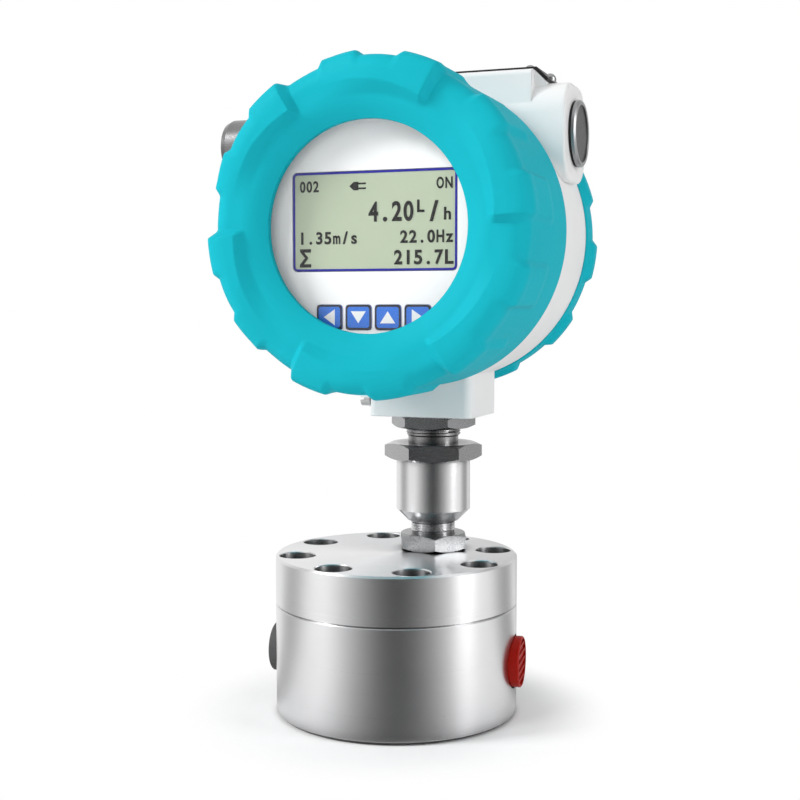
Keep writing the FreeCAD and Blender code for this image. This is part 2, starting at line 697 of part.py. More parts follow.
def make_pickup_locknut():
    nut = chamfered_hexagon(PICKUP_NUT_FLATS, 0, PICKUP_NUT_HEIGHT, PICKUP_NUT_TURN)
    return nut.cut(disc(PICKUP_THREAD_RADIUS + THREAD_GAP, -OVERCUT, PICKUP_NUT_HEIGHT + OVERCUT))


def make_stem_union():
    spigot = BARREL_CAVITY_RADIUS - THREAD_GAP
    groove = spigot - STEM_SEAL_DEPTH
    bottom = BARREL_TOP - UNION_SPIGOT
    groove_bottom = bottom + STEM_SEAL_START
    groove_top = groove_bottom + STEM_SEAL_HEIGHT
    neck = NIPPLE_RADIUS - UNION_UNDERCUT_DEPTH
    neck_top = UNION_TOP + UNION_UNDERCUT
    end = NECK_BOTTOM + NIPPLE_ENGAGE
    turned_part = turned((
        (0, bottom), (spigot - HEAD_CHAMFER, bottom), (spigot, bottom + HEAD_CHAMFER),
        (spigot, groove_bottom), (groove, groove_bottom), (groove, groove_top),
        (spigot, groove_top), (spigot, BARREL_TOP),
        (neck, BARREL_TOP), (neck, neck_top), (NIPPLE_RADIUS, neck_top + UNION_UNDERCUT_DEPTH),
        (NIPPLE_RADIUS, end - THREAD_CHAMFER), (NIPPLE_RADIUS - THREAD_CHAMFER, end), (0, end),
    ))
    flange = chamfered_hexagon(UNION_FLATS, BARREL_TOP, UNION_TOP, UNION_TURN)
    return joined([turned_part, flange]).cut(disc(UNION_BORE_RADIUS, bottom - OVERCUT, end + OVERCUT))


def make_stem_seal():
    bottom = BARREL_TOP - UNION_SPIGOT + STEM_SEAL_START
    outer = BARREL_CAVITY_RADIUS - PRESS_GAP
    inner = BARREL_CAVITY_RADIUS - THREAD_GAP - STEM_SEAL_DEPTH + PRESS_GAP
    return soft_ring(inner, outer, bottom + SLIDE_GAP, bottom + STEM_SEAL_HEIGHT - SLIDE_GAP)


def make_head_locknut():
    nut = chamfered_hexagon(HEAD_NUT_FLATS, HEAD_NUT_BOTTOM, NECK_BOTTOM, HEAD_NUT_TURN)
    return nut.cut(disc(NIPPLE_RADIUS + THREAD_GAP, HEAD_NUT_BOTTOM - OVERCUT, NECK_BOTTOM + OVERCUT))


def make_signal_cable():
    bottom = BARREL_TOP - BARREL_CAVITY_DEPTH + BOARD_THICKNESS
    return disc(CABLE_RADIUS, bottom, CABLE_TOP)


def make_signal_connector():
    width, height, length = CONNECTOR_SIZE
    collar_margin, collar_height = CONNECTOR_COLLAR
    plug = slab(width, height, CONNECTOR_CORNER, CABLE_TOP, CABLE_TOP + length)
    collar = disc(CABLE_RADIUS + collar_margin, CABLE_TOP, CABLE_TOP + collar_height)
    return joined([plug, collar])


# Transmitter housing: drum band, threaded spigots, roof box, sloped seats, entry bosses, neck

def roof_box():
    half = BAND_HALF - 2 * CAST_STEP
    box = Part.makeBox(2 * ROOF_HALF_WIDTH, ROOF_HEIGHT, 2 * half, Vector(-ROOF_HALF_WIDTH, 0, -half))
    top_edges = [edge for edge in box.Edges if edge.CenterOfMass.y > ROOF_HEIGHT - CAST_STEP]
    long_edges = [edge for edge in top_edges if edge.BoundBox.XLength > ROOF_HALF_WIDTH]
    return box.makeFillet(CAST_FILLET, long_edges)


def slope_seat(side):
    half = NAMEPLATE_DEPTH / 2 + NAMEPLATE_SEAT_MARGIN
    inner = ROOF_HALF_WIDTH - ROOF_SLOPE
    outer = ROOF_HALF_WIDTH + ROOF_SLOPE
    foot = ROOF_HEIGHT - 2 * ROOF_SLOPE
    corners = ((inner, foot), (outer, foot), (outer, ROOF_HEIGHT - ROOF_SLOPE),
               (ROOF_HALF_WIDTH, ROOF_HEIGHT), (inner, ROOF_HEIGHT - ROOF_SLOPE))
    points = [Vector(side * x, y, -half) for x, y in corners]
    points.append(points[0])
    return Part.Face(Part.makePolygon(points)).extrude(Vector(0, 0, 2 * half))


def entry_bosses():
    half = BAND_HALF - CAST_STEP
    bar = slab(2 * half, 2 * ENTRY_BOSS_HALF_HEIGHT, ENTRY_BOSS_CORNER, -ENTRY_REACH, ENTRY_REACH)
    end_edges = [edge for edge in bar.Edges if abs(edge.CenterOfMass.z) > ENTRY_REACH - CAST_STEP]
    return moved(facing_right(bar.makeFillet(ENTRY_BOSS_ROUNDING, end_edges)), 0, ENTRY_HEIGHT)


def make_housing_body():
    drum = disc(BAND_RADIUS, -BAND_HALF, BAND_HALF)
    lip = SPIGOT_RADIUS - SPIGOT_CHAMFER
    spigots = turned((
        (0, -REAR_SPIGOT_END), (lip, -REAR_SPIGOT_END), (SPIGOT_RADIUS, SPIGOT_CHAMFER - REAR_SPIGOT_END),
        (SPIGOT_RADIUS, SPIGOT_END - SPIGOT_CHAMFER), (lip, SPIGOT_END), (0, SPIGOT_END),
    ))
    neck_depth = 2 * (BAND_HALF - CAST_STEP)
    neck = slab(NECK_WIDTH, neck_depth, NECK_CORNER, -AXIS_ABOVE_NECK, NECK_ROOT - BAND_RADIUS)
    neck = spun(neck, -90, Vector(1, 0, 0))
    casting = joined([drum, spigots, roof_box(), slope_seat(-1), slope_seat(1), entry_bosses(), neck])
    neck_end = Vector(0, -AXIS_ABOVE_NECK, 0)
    upwards = Vector(0, 1, 0)
    passage_length = AXIS_ABOVE_NECK - CAVITY_RADIUS + CABLE_RISE
    entry = disc(ENTRY_THREAD_RADIUS + THREAD_GAP, ENTRY_REACH - ENTRY_HOLE_DEPTH, ENTRY_REACH + OVERCUT)
    wire_hole = disc(WIRE_HOLE_RADIUS, PARTITION_BACK - OVERCUT, PARTITION_FRONT + OVERCUT)
    small_hole = disc(SMALL_HOLE_RADIUS, -SMALL_SCREW_LENGTH - OVERCUT, OVERCUT)
    cutters = [
        disc(CAVITY_RADIUS, PARTITION_FRONT, SPIGOT_END + OVERCUT),
        disc(CAVITY_RADIUS, -REAR_SPIGOT_END - OVERCUT, PARTITION_BACK),
        Part.makeCylinder(NIPPLE_RADIUS + THREAD_GAP, NIPPLE_ENGAGE + TAP_RUNOUT, neck_end, upwards),
        Part.makeCylinder(NIPPLE_RADIUS - NECK_WALL, passage_length, neck_end, upwards),
        moved(facing_right(entry), 0, ENTRY_HEIGHT),
        moved(facing_left(entry), 0, ENTRY_HEIGHT),
        moved(wire_hole, 0, -WIRE_HOLE_DROP),
        ground_place(small_hole, 0),
    ]
    return casting.cut(cutters + nameplate_places(small_hole, 0))


# Bent nameplate that follows the flat roof and both slopes

def roof_line(lift):
    slope = math.radians(ROOF_SLOPE_ANGLE)
    bend = ROOF_HALF_WIDTH + lift * math.tan(slope / 2)
    end = ROOF_HALF_WIDTH + NAMEPLATE_SLOPE_END + lift * math.sin(slope)
    end_y = ROOF_HEIGHT - NAMEPLATE_SLOPE_END + lift * math.cos(slope)
    return [(-end, end_y), (-bend, ROOF_HEIGHT + lift), (bend, ROOF_HEIGHT + lift), (end, end_y)]


def make_nameplate():
    points = roof_line(FACE_GAP) + list(reversed(roof_line(FACE_GAP + NAMEPLATE_THICKNESS)))
    corners = [Vector(x, y, -NAMEPLATE_DEPTH / 2) for x, y in points]
    corners.append(corners[0])
    plate = Part.Face(Part.makePolygon(corners)).extrude(Vector(0, 0, NAMEPLATE_DEPTH))
    hole = disc(SMALL_HOLE_RADIUS, -SMALL_SCREW_LENGTH, NAMEPLATE_THICKNESS + OVERCUT)
    return plate.cut(nameplate_places(hole, 0))


def nameplate_places(shape, lift):
    upright = spun(shape, -90, Vector(1, 0, 0))
    rise = lift * math.sin(math.radians(ROOF_SLOPE_ANGLE))
    flat_x = ROOF_HALF_WIDTH - NAMEPLATE_SCREW_INSET
    slope_x = ROOF_HALF_WIDTH + NAMEPLATE_SLOPE_SCREW + rise
    slope_y = ROOF_HEIGHT - NAMEPLATE_SLOPE_SCREW + rise
    places = []
    for side in (-1, 1):
        for depth in (-NAMEPLATE_SCREW_SPREAD, NAMEPLATE_SCREW_SPREAD):
            places.append(moved(upright, side * flat_x, ROOF_HEIGHT + lift, depth))
        places.append(moved(spun(upright, -ROOF_SLOPE_ANGLE * side), side * slope_x, slope_y))
    return places


def make_nameplate_screws():
    sphere_radius = (DOME_RADIUS ** 2 + DOME_HEIGHT ** 2) / (2 * DOME_HEIGHT)
    ball = moved(Part.makeSphere(sphere_radius), 0, 0, DOME_HEIGHT - sphere_radius)
    dome = ball.common(disc(DOME_RADIUS + OVERCUT, 0, DOME_HEIGHT + OVERCUT))
    solid = dome.fuse(disc(SMALL_SCREW_RADIUS, -SMALL_SCREW_LENGTH, 0))
    return Part.makeCompound(nameplate_places(solid, FACE_GAP + NAMEPLATE_THICKNESS))


# Earth terminal on the left side of the neck

def ground_place(shape, lift):
    height = GROUND_ABOVE_NECK - AXIS_ABOVE_NECK
    return moved(facing_left(shape), -NECK_WIDTH / 2 - lift, height, GROUND_FORWARD)


def make_ground_washer():
    washer = ring(GROUND_WASHER_RADIUS, SMALL_HOLE_RADIUS, 0, GROUND_WASHER_THICKNESS)
    return ground_place(washer, 0)


def make_ground_screw():
    solid = small_screw(GROUND_HEAD_RADIUS, GROUND_HEAD_HEIGHT, GROUND_SLOT)
    return ground_place(solid, GROUND_WASHER_THICKNESS)


# Covers: turned ring or cap with twelve corner lugs, and lofted crescent pads on the front face

def face_height(radius):
    beyond = max(0, radius - COVER_RADIUS + COVER_ROUNDING)
    return COVER_FRONT - COVER_ROUNDING + math.sqrt(COVER_ROUNDING ** 2 - beyond ** 2)


def pad_section(angle, lift_share, width_share):
    lift = PAD_LIFT * lift_share
    width = PAD_WIDTH * width_share
    inner = COVER_RADIUS - width
    crown, brow = [inner + width * share for share in PAD_TOP]
    foot = COVER_FRONT - PAD_FOOT
    points = (
        (inner - PAD_ROOT, COVER_FRONT - COVER_ROUNDING), (inner, face_height(inner) - ROOT),
        (crown, face_height(crown) + lift), (brow, face_height(brow) + lift),
        (COVER_RADIUS + lift * PAD_LEAN, foot), (COVER_RADIUS - PAD_ROOT, foot - PAD_ROOT),
    )
    outline = [Vector(radius, 0, height) for radius, height in points]
    outline.append(outline[0])
    return spun(Part.makePolygon(outline), angle)


def crescent_pad():
    return Part.makeLoft([pad_section(*section) for section in PAD_SECTIONS], True, False)


def corner_lug(start, end, toe):
    root = COVER_RADIUS - PAD_ROOT
    top = COVER_RADIUS + LUG_LIFT
    brow = top - toe
    points = ((root, start), (top, start + LUG_HEEL), (top, end - toe), (brow, end),
              (root - toe, end - toe))
    outline = [Vector(radius, 0, height) for radius, height in points]
    outline.append(outline[0])
    face = spun(Part.Face(Part.makePolygon(outline)), -LUG_HALF_ANGLE)
    block = face.revolve(Vector(), UP, 2 * LUG_HALF_ANGLE)
    clear_of = (brow - LUG_ROUNDING) * math.cos(math.radians(LUG_HALF_ANGLE))
    outer = [edge for edge in block.Edges if edge.BoundBox.XMin > clear_of]
    return block.makeFillet(LUG_ROUNDING, outer)


def lug_ring(start, end, toe):
    return around(corner_lug(start, end, toe), LUG_COUNT, PAD_START + LUG_HALF_ANGLE)


def cover_base(outline):
    return turned([
        (0, COVER_START), (COVER_RADIUS - COVER_EDGE, COVER_START), (COVER_RADIUS, COVER_START + COVER_EDGE),
    ] + outline)


def cover_hollow(thread_end, inner_points):
    below = COVER_START - OVERCUT
    thread = SPIGOT_RADIUS + THREAD_GAP
    seal_outer = SPIGOT_RADIUS + COVER_SEAL_WIDTH + 2 * SLIDE_GAP
    seal_top = BAND_HALF + COVER_SEAL_THICKNESS + FACE_GAP
    return turned([
        (0, below), (seal_outer, below), (seal_outer, seal_top), (thread, seal_top),
        (thread, thread_end), (COVER_BORE_RADIUS, thread_end),
    ] + inner_points)


def make_front_cover():
    shoulder_out, shoulder_up = WINDOW_SHOULDER
    beyond = COVER_FRONT + OVERCUT
    base = cover_base([
        (COVER_RADIUS, COVER_FRONT), (CREST_RADIUS, COVER_FRONT),
        (WINDOW_RADIUS + shoulder_out, WINDOW_EDGE + shoulder_up), (WINDOW_RADIUS, WINDOW_EDGE),
        (0, WINDOW_EDGE),
    ])
    rim_edges = [edge for edge in base.Edges if edge.BoundBox.XMax > COVER_RADIUS - COVER_EDGE / 2]
    corner = [edge for edge in rim_edges if edge.BoundBox.ZMin > COVER_FRONT - COVER_EDGE]
    lugs = lug_ring(COVER_START + LUG_START, COVER_FRONT + LUG_RISE, LUG_TOE)
    pads = around(crescent_pad(), PAD_COUNT, PAD_START)
    blank = base.makeFillet(COVER_ROUNDING, corner).multiFuse(lugs + pads)
    return blank.cut(cover_hollow(SPIGOT_END + COVER_THREAD_RELIEF, [
        (COVER_BORE_RADIUS, RETAINER_BACK), (GLASS_BORE_RADIUS, RETAINER_BACK),
        (GLASS_BORE_RADIUS, GASKET_FRONT), (WINDOW_RADIUS, GASKET_FRONT),
        (WINDOW_RADIUS, beyond), (0, beyond),
    ]))


def make_rear_cover():
    inside = REAR_FACE - REAR_WALL
    base = cover_base([
        (COVER_RADIUS, REAR_SHOULDER), (COVER_RADIUS - REAR_BEVEL_DROP, REAR_FACE - REAR_CROWN),
        (CREST_RADIUS, REAR_FACE), (0, REAR_FACE),
    ])
    blank = base.multiFuse(lug_ring(COVER_START + REAR_LUG_START, REAR_SHOULDER + REAR_LUG_TOE, REAR_LUG_TOE))
    hollow = cover_hollow(REAR_SPIGOT_END + COVER_THREAD_RELIEF, [(COVER_BORE_RADIUS, inside), (0, inside)])
    return spun(blank.cut(hollow), 180, Vector(0, 1, 0))


def make_cover_seal():
    inner = SPIGOT_RADIUS + SLIDE_GAP
    return soft_ring(inner, inner + COVER_SEAL_WIDTH, BAND_HALF, BAND_HALF + COVER_SEAL_THICKNESS)


def make_window_glass():
    return turned((
        (0, RETAINER_FRONT), (GLASS_RADIUS - GLASS_EDGE, RETAINER_FRONT),
        (GLASS_RADIUS, RETAINER_FRONT + GLASS_EDGE), (GLASS_RADIUS, GLASS_FRONT - GLASS_EDGE),
        (GLASS_RADIUS - GLASS_EDGE, GLASS_FRONT), (0, GLASS_FRONT),
    ))


def make_window_gasket():
    return ring(GLASS_RADIUS, WINDOW_RADIUS + GASKET_INSET, GLASS_FRONT, GASKET_FRONT)


def make_window_retainer():
    inner = WINDOW_RADIUS + RETAINER_INSET
    notch_width, notch_depth = RETAINER_NOTCH
    collar = ring(GLASS_BORE_RADIUS - THREAD_GAP, inner, RETAINER_BACK, RETAINER_FRONT)
    notch_length = 2 * (GLASS_BORE_RADIUS + OVERCUT)
    notch_floor = RETAINER_BACK + notch_depth
    return collar.cut(slab(notch_length, notch_width, 0, RETAINER_BACK - OVERCUT, notch_floor))


# Entry fittings, drawn pointing out along z from the boss face

def on_entry(shape, side):
    pointing = facing_right(shape) if side > 0 else facing_left(shape)
    return moved(pointing, side * ENTRY_REACH, ENTRY_HEIGHT)


def make_fitting_seal(side):
    inner = ENTRY_THREAD_RADIUS + SLIDE_GAP
    return on_entry(soft_ring(inner, FITTING_RADIUS - SEAL_INSET, 0, FITTING_SEAL_THICKNESS), side)


def entry_thread(top_points):
    tip = -ENTRY_THREAD_LENGTH
    radius = ENTRY_THREAD_RADIUS
    return turned([
        (0, tip), (radius - THREAD_CHAMFER, tip), (radius, tip + THREAD_CHAMFER),
        (radius, FITTING_SEAL_THICKNESS),
    ] + top_points)


def make_blanking_plug():
    face = FITTING_SEAL_THICKNESS + BLANK_FLANGE
    dish = FITTING_RADIUS - BLANK_RIM
    floor = face - BLANK_DISH
    solid = entry_thread([
        (FITTING_RADIUS, FITTING_SEAL_THICKNESS), (FITTING_RADIUS, face - HEAD_CHAMFER),
        (FITTING_RADIUS - HEAD_CHAMFER, face), (dish, face), (dish - BLANK_SLOPE, floor), (0, floor),
    ])
    return on_entry(solid, 1)


def make_gland_body():
    top = FITTING_SEAL_THICKNESS + GLAND_FLANGE
    nut_root = top + GLAND_THREAD_LENGTH
    thread = GLAND_NUT_RADIUS - GLAND_NUT_WALL
    seat = top - GLAND_SEAT
    shank = entry_thread([(thread, FITTING_SEAL_THICKNESS), (thread, nut_root), (0, nut_root)])
    flange = chamfered_hexagon(GLAND_FLATS, FITTING_SEAL_THICKNESS, top, 0)
    solid = joined([shank, flange])
    solid = solid.cut(disc(GLAND_CABLE_RADIUS + GLAND_BODY_GAP, -ENTRY_THREAD_LENGTH - OVERCUT, seat))
    return on_entry(solid.cut(disc(GLAND_BORE_RADIUS, seat, nut_root + OVERCUT)), -1)


def make_gland_nut():
    bottom = FITTING_SEAL_THICKNESS + GLAND_FLANGE + FACE_GAP
    top = bottom + GLAND_NUT_LENGTH
    thread = GLAND_NUT_RADIUS - GLAND_NUT_WALL + THREAD_GAP
    inside = bottom + GLAND_THREAD_LENGTH + OVERCUT
    mouth = GLAND_CABLE_RADIUS + GLAND_MOUTH
    soft = GLAND_ROUNDING * SEAL_SOFTNESS
    solid = turned((
        (thread, bottom), (GLAND_NUT_RADIUS, bottom), (GLAND_NUT_RADIUS, top - GLAND_ROUNDING),
        (GLAND_NUT_RADIUS - soft, top - soft), (GLAND_NUT_RADIUS - GLAND_ROUNDING, top), (mouth, top),
        (mouth, inside + GLAND_CONE), (GLAND_BORE_RADIUS, inside), (thread, inside),
    ))
    return on_entry(solid, -1)


def make_gland_insert():
    bottom = FITTING_SEAL_THICKNESS + GLAND_FLANGE - GLAND_SEAT
    top = FITTING_SEAL_THICKNESS + GLAND_FLANGE + GLAND_THREAD_LENGTH + GLAND_SQUEEZE
    return on_entry(ring(GLAND_BORE_RADIUS - THREAD_GAP, GLAND_CABLE_RADIUS, bottom, top), -1)


# Display behind the window

def board_places(shape):
    return [spun(moved(shape, BOARD_POST_CIRCLE, 0), angle) for angle in BOARD_POST_ANGLES]


def standoff_places(shape, start):
    return around(moved(shape, STANDOFF_CIRCLE, 0), STANDOFF_COUNT, start)


def make_display_carrier():
    shell = ring(CARRIER_RADIUS, CARRIER_INSIDE, CARRIER_BACK, PANEL_BACK)
    floor_top = CARRIER_BACK + CARRIER_FLOOR
    floor = disc(CARRIER_INSIDE + CARRIER_WALL / 2, CARRIER_BACK, floor_top)
    posts = board_places(disc(BOARD_POST_RADIUS, floor_top - ROOT, BOARD_BACK))
    cup = joined([shell, floor] + posts)
    through = (CARRIER_BACK - OVERCUT, floor_top + OVERCUT)
    cutters = standoff_places(disc(SMALL_HOLE_RADIUS, *through), CARRIER_STANDOFF_START)
    cutters += board_places(disc(SMALL_HOLE_RADIUS, BOARD_BACK - SMALL_SCREW_LENGTH, BOARD_BACK + OVERCUT))
    cutters.append(disc(CARRIER_HOLE, *through))
    return cup.cut(cutters)


def make_carrier_standoffs():
    post = disc(STANDOFF_RADIUS, PARTITION_FRONT, CARRIER_BACK)
    hole = disc(SMALL_HOLE_RADIUS, CARRIER_BACK - SMALL_SCREW_LENGTH, CARRIER_BACK + OVERCUT)
    return Part.makeCompound(standoff_places(post.cut(hole), CARRIER_STANDOFF_START))


def make_carrier_screws():
    solid = moved(small_screw(*PAN_HEAD), 0, 0, CARRIER_BACK + CARRIER_FLOOR)
    return Part.makeCompound(standoff_places(solid, CARRIER_STANDOFF_START))


def make_main_board():
    board = disc(BOARD_RADIUS, BOARD_BACK, BOARD_FRONT)
    width, height = BOARD_CHIP
    chip = slab(width, width, SMALL_CORNER, BOARD_BACK - height, BOARD_BACK + ROOT)
    chips = [moved(chip, x, y) for x, y in BOARD_CHIP_PLACES]
    holes = board_places(disc(SMALL_HOLE_RADIUS, BOARD_BACK - OVERCUT, BOARD_FRONT + OVERCUT))
    return joined([board] + chips).cut(holes)


def make_board_screws():
    solid = small_screw(*FLAT_HEAD)
    return Part.makeCompound(board_places(moved(solid, 0, 0, BOARD_FRONT)))


def key_offsets():
    return {"key_left": -1.5 * KEY_PITCH, "key_down": -0.5 * KEY_PITCH,
            "key_up": 0.5 * KEY_PITCH, "key_right": 1.5 * KEY_PITCH}


def make_face_panel():
    through = (PANEL_BACK - OVERCUT, PANEL_FRONT + OVERCUT)
    panel = disc(CARRIER_RADIUS, PANEL_BACK, PANEL_FRONT)
    opening = slab(KEY_WIDTH + 2 * SLIDE_GAP, KEY_HEIGHT + 2 * SLIDE_GAP, KEY_CORNER, *through)
    window = slab(LCD_WIDTH + 2 * SLIDE_GAP, LCD_HEIGHT + 2 * SLIDE_GAP, LCD_CORNER, *through)
    cutters = [moved(window, 0, LCD_RAISE)]
    for offset in key_offsets().values():
        cutters.append(moved(opening, offset, KEY_CENTRE_HEIGHT))
    return panel.cut(cutters)


def inside_carrier(shape):
    return shape.common(disc(CARRIER_INSIDE - SLIDE_GAP, CARRIER_BACK, RETAINER_BACK))


def make_lcd_glass():
    front = PANEL_FRONT - LCD_SUNK_BY
    pane = slab(LCD_WIDTH, LCD_HEIGHT, LCD_CORNER, front - LCD_THICKNESS, front)
    return inside_carrier(moved(pane, 0, LCD_RAISE))


def make_lcd_frame():
    top = PANEL_FRONT - LCD_SUNK_BY - LCD_THICKNESS
    frame = slab(LCD_WIDTH + 2 * LCD_FRAME_WALL, LCD_HEIGHT + 2 * LCD_FRAME_WALL, LCD_CORNER,
                 BOARD_FRONT, top)
    hollow = slab(LCD_WIDTH - 2 * LCD_FRAME_LEDGE, LCD_HEIGHT - 2 * LCD_FRAME_LEDGE, LCD_CORNER,
                  BOARD_FRONT - OVERCUT, top - LCD_FRAME_TOP)
    return inside_carrier(moved(frame.cut(hollow), 0, LCD_RAISE))


def make_key(offset):
    flange_front = PANEL_BACK - FACE_GAP
    cap = slab(KEY_WIDTH, KEY_HEIGHT, KEY_CORNER, flange_front - ROOT, PANEL_FRONT + KEY_PROUD)
    flange = slab(KEY_WIDTH + 2 * KEY_FLANGE, KEY_HEIGHT + KEY_FLANGE, KEY_CORNER,
                  flange_front - KEY_FLANGE_THICKNESS, flange_front)
    stem_end = BOARD_FRONT + SWITCH_HEIGHT + SWITCH_BUTTON_HEIGHT + KEY_TRAVEL + KEY_PLAY
    stem = disc(KEY_STEM_RADIUS, stem_end, flange_front)
    return inside_carrier(moved(joined([cap, flange, stem]), offset, KEY_CENTRE_HEIGHT))


def make_key_switches():
    top = BOARD_FRONT + SWITCH_HEIGHT
    body = slab(SWITCH_SIZE, SWITCH_SIZE, SMALL_CORNER, BOARD_FRONT, top)
    button = disc(SWITCH_BUTTON_RADIUS, top - ROOT, top + SWITCH_BUTTON_HEIGHT)
    switch = joined([body, button])
    return Part.makeCompound([moved(switch, offset, KEY_CENTRE_HEIGHT) for offset in key_offsets().values()])


# Terminals behind the partition, facing the rear cover

def terminal_offsets():
    pitch = TERMINAL_BLOCK[0] / TERMINALS_PER_BLOCK
    return [(index + 0.5) * pitch - TERMINAL_BLOCK[0] / 2 for index in range(TERMINALS_PER_BLOCK)]


def make_terminal_standoffs():
    post = disc(STANDOFF_RADIUS, TERMINAL_SEAT, PARTITION_BACK)
    hole = disc(SMALL_HOLE_RADIUS, TERMINAL_SEAT - OVERCUT, PARTITION_BACK - OVERCUT)
    return Part.makeCompound(standoff_places(post.cut(hole), TERMINAL_STANDOFF_START))


def make_terminal_board():
    radius = CAVITY_RADIUS - TERMINAL_BOARD_GAP
    hole = disc(SMALL_HOLE_RADIUS, TERMINAL_BASE - OVERCUT, TERMINAL_SEAT + OVERCUT)
    board = disc(radius, TERMINAL_BASE, TERMINAL_SEAT)
    return board.cut(standoff_places(hole, TERMINAL_STANDOFF_START))


def make_terminal_board_screws():
    solid = moved(spun(small_screw(*PAN_HEAD), 180, Vector(1, 0, 0)), 0, 0, TERMINAL_BASE)
    return Part.makeCompound(standoff_places(solid, TERMINAL_STANDOFF_START))


def make_terminal_blocks():
    width, height, depth = TERMINAL_BLOCK
    back = TERMINAL_BASE - depth
    well = disc(TERMINAL_SCREW_RADIUS + SLIDE_GAP, back - OVERCUT, back + TERMINAL_WELL_DEPTH)
    block = slab(width, height, BLOCK_CORNER, back, TERMINAL_BASE)
    block = block.cut([moved(well, x, 0) for x in terminal_offsets()])
    return Part.makeCompound([moved(block, 0, side * TERMINAL_BLOCK_SPREAD) for side in (-1, 1)])


def make_terminal_screws():
    slot_width, slot_depth = TERMINAL_SLOT
    seat = TERMINAL_BASE - TERMINAL_BLOCK[2] + TERMINAL_WELL_DEPTH
    top = seat - TERMINAL_SCREW_HEIGHT
    slot = slab(2 * (TERMINAL_SCREW_RADIUS + OVERCUT), slot_width, 0, top - OVERCUT, top + slot_depth)
    head = disc(TERMINAL_SCREW_RADIUS, top, seat).cut(slot)
    screws = []
    for side in (-1, 1):
        screws += [moved(head, x, side * TERMINAL_BLOCK_SPREAD) for x in terminal_offsets()]
    return Part.makeCompound(screws)


# All pieces in their places

def meter_pieces():
    plug = make_port_plug()
    return {
        "meter_body": make_meter_body(),
        "meter_lid": make_meter_lid(),
        "lid_screws": make_lid_screws(),
        "chamber_seal": make_chamber_seal(),
        "front_gear": make_gear(-1),
        "rear_gear": make_gear(1),
        "front_gear_bush": make_gear_bush(-1),
        "rear_gear_bush": make_gear_bush(1),
        "front_gear_shaft": make_gear_shaft(-1),
        "rear_gear_shaft": make_gear_shaft(1),
        "inlet_plug": moved(facing_left(plug), 0, 0, PORT_HEIGHT),
        "outlet_plug": moved(facing_right(plug), 0, 0, PORT_HEIGHT),
    }


def stem_pieces():
    return {
        "pickup_tube": make_pickup_tube(),
        "pickup_coil": make_pickup_coil(),
        "pickup_magnet": make_pickup_magnet(),
        "pickup_wires": make_pickup_wires(),
        "pickup_board": make_pickup_board(),
        "pickup_locknut": make_pickup_locknut(),
        "stem_union": make_stem_union(),
        "stem_seal": make_stem_seal(),
        "head_locknut": make_head_locknut(),
        "signal_cable": make_signal_cable(),
        "signal_connector": make_signal_connector(),
    }


def head_pieces():
    pieces = {
        "housing_body": make_housing_body(),
        "nameplate": make_nameplate(),
        "nameplate_screws": make_nameplate_screws(),
        "ground_screw": make_ground_screw(),
        "ground_washer": make_ground_washer(),
        "front_cover": make_front_cover(),
        "front_cover_seal": make_cover_seal(),
        "window_glass": make_window_glass(),
        "window_gasket": make_window_gasket(),
        "window_retainer": make_window_retainer(),
        "rear_cover": make_rear_cover(),
        "rear_cover_seal": spun(make_cover_seal(), 180, Vector(0, 1, 0)),
        "blanking_plug": make_blanking_plug(),
        "blanking_plug_seal": make_fitting_seal(1),
        "gland_body": make_gland_body(),
        "gland_nut": make_gland_nut(),
        "gland_insert": make_gland_insert(),
        "gland_seal": make_fitting_seal(-1),
        "display_carrier": make_display_carrier(),
        "carrier_standoffs": make_carrier_standoffs(),
        "carrier_screws": make_carrier_screws(),
        "main_board": make_main_board(),
        "board_screws": make_board_screws(),
        "face_panel": make_face_panel(),
        "lcd_glass": make_lcd_glass(),
        "lcd_frame": make_lcd_frame(),
        "key_switches": make_key_switches(),
        "terminal_standoffs": make_terminal_standoffs(),
        "terminal_board": make_terminal_board(),
        "terminal_board_screws": make_terminal_board_screws(),
        "terminal_blocks": make_terminal_blocks(),
        "terminal_screws": make_terminal_screws(),
    }
    for name, offset in key_offsets().items():
        pieces[name] = make_key(offset)
    return pieces


def export_all():
    os.makedirs("parts", exist_ok=True)
    for name, shape in meter_pieces().items():
        shape.exportStep("parts/" + name + ".step")
    for name, shape in stem_pieces().items():
        on_stem(shape).exportStep("parts/" + name + ".step")
    for name, shape in head_pieces().items():
        on_head(shape).exportStep("parts/" + name + ".step")


export_all()
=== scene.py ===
import bpy
import math
from mathutils import Matrix, Vector


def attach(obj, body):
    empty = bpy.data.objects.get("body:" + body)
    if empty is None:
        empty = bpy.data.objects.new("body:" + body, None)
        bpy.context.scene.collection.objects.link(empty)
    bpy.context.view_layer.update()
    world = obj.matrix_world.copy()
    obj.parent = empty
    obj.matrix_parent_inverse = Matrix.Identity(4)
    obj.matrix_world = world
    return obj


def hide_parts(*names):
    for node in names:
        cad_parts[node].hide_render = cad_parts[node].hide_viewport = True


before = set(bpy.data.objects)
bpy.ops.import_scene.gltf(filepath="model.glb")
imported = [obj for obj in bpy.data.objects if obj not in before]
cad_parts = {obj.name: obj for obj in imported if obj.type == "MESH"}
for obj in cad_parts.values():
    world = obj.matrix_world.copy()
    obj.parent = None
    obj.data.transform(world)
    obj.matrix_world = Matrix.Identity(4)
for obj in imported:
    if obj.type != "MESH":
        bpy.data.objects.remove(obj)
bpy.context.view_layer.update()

# Gear flow meter: a finish for every piece, the thread ridges on the stem, the painted covers,
# the display's markings, and a studio with lamps and camera.
# Sizes are in millimetres, turned into metres by MM; the studio's are in metres where it says so.
MM = 0.001

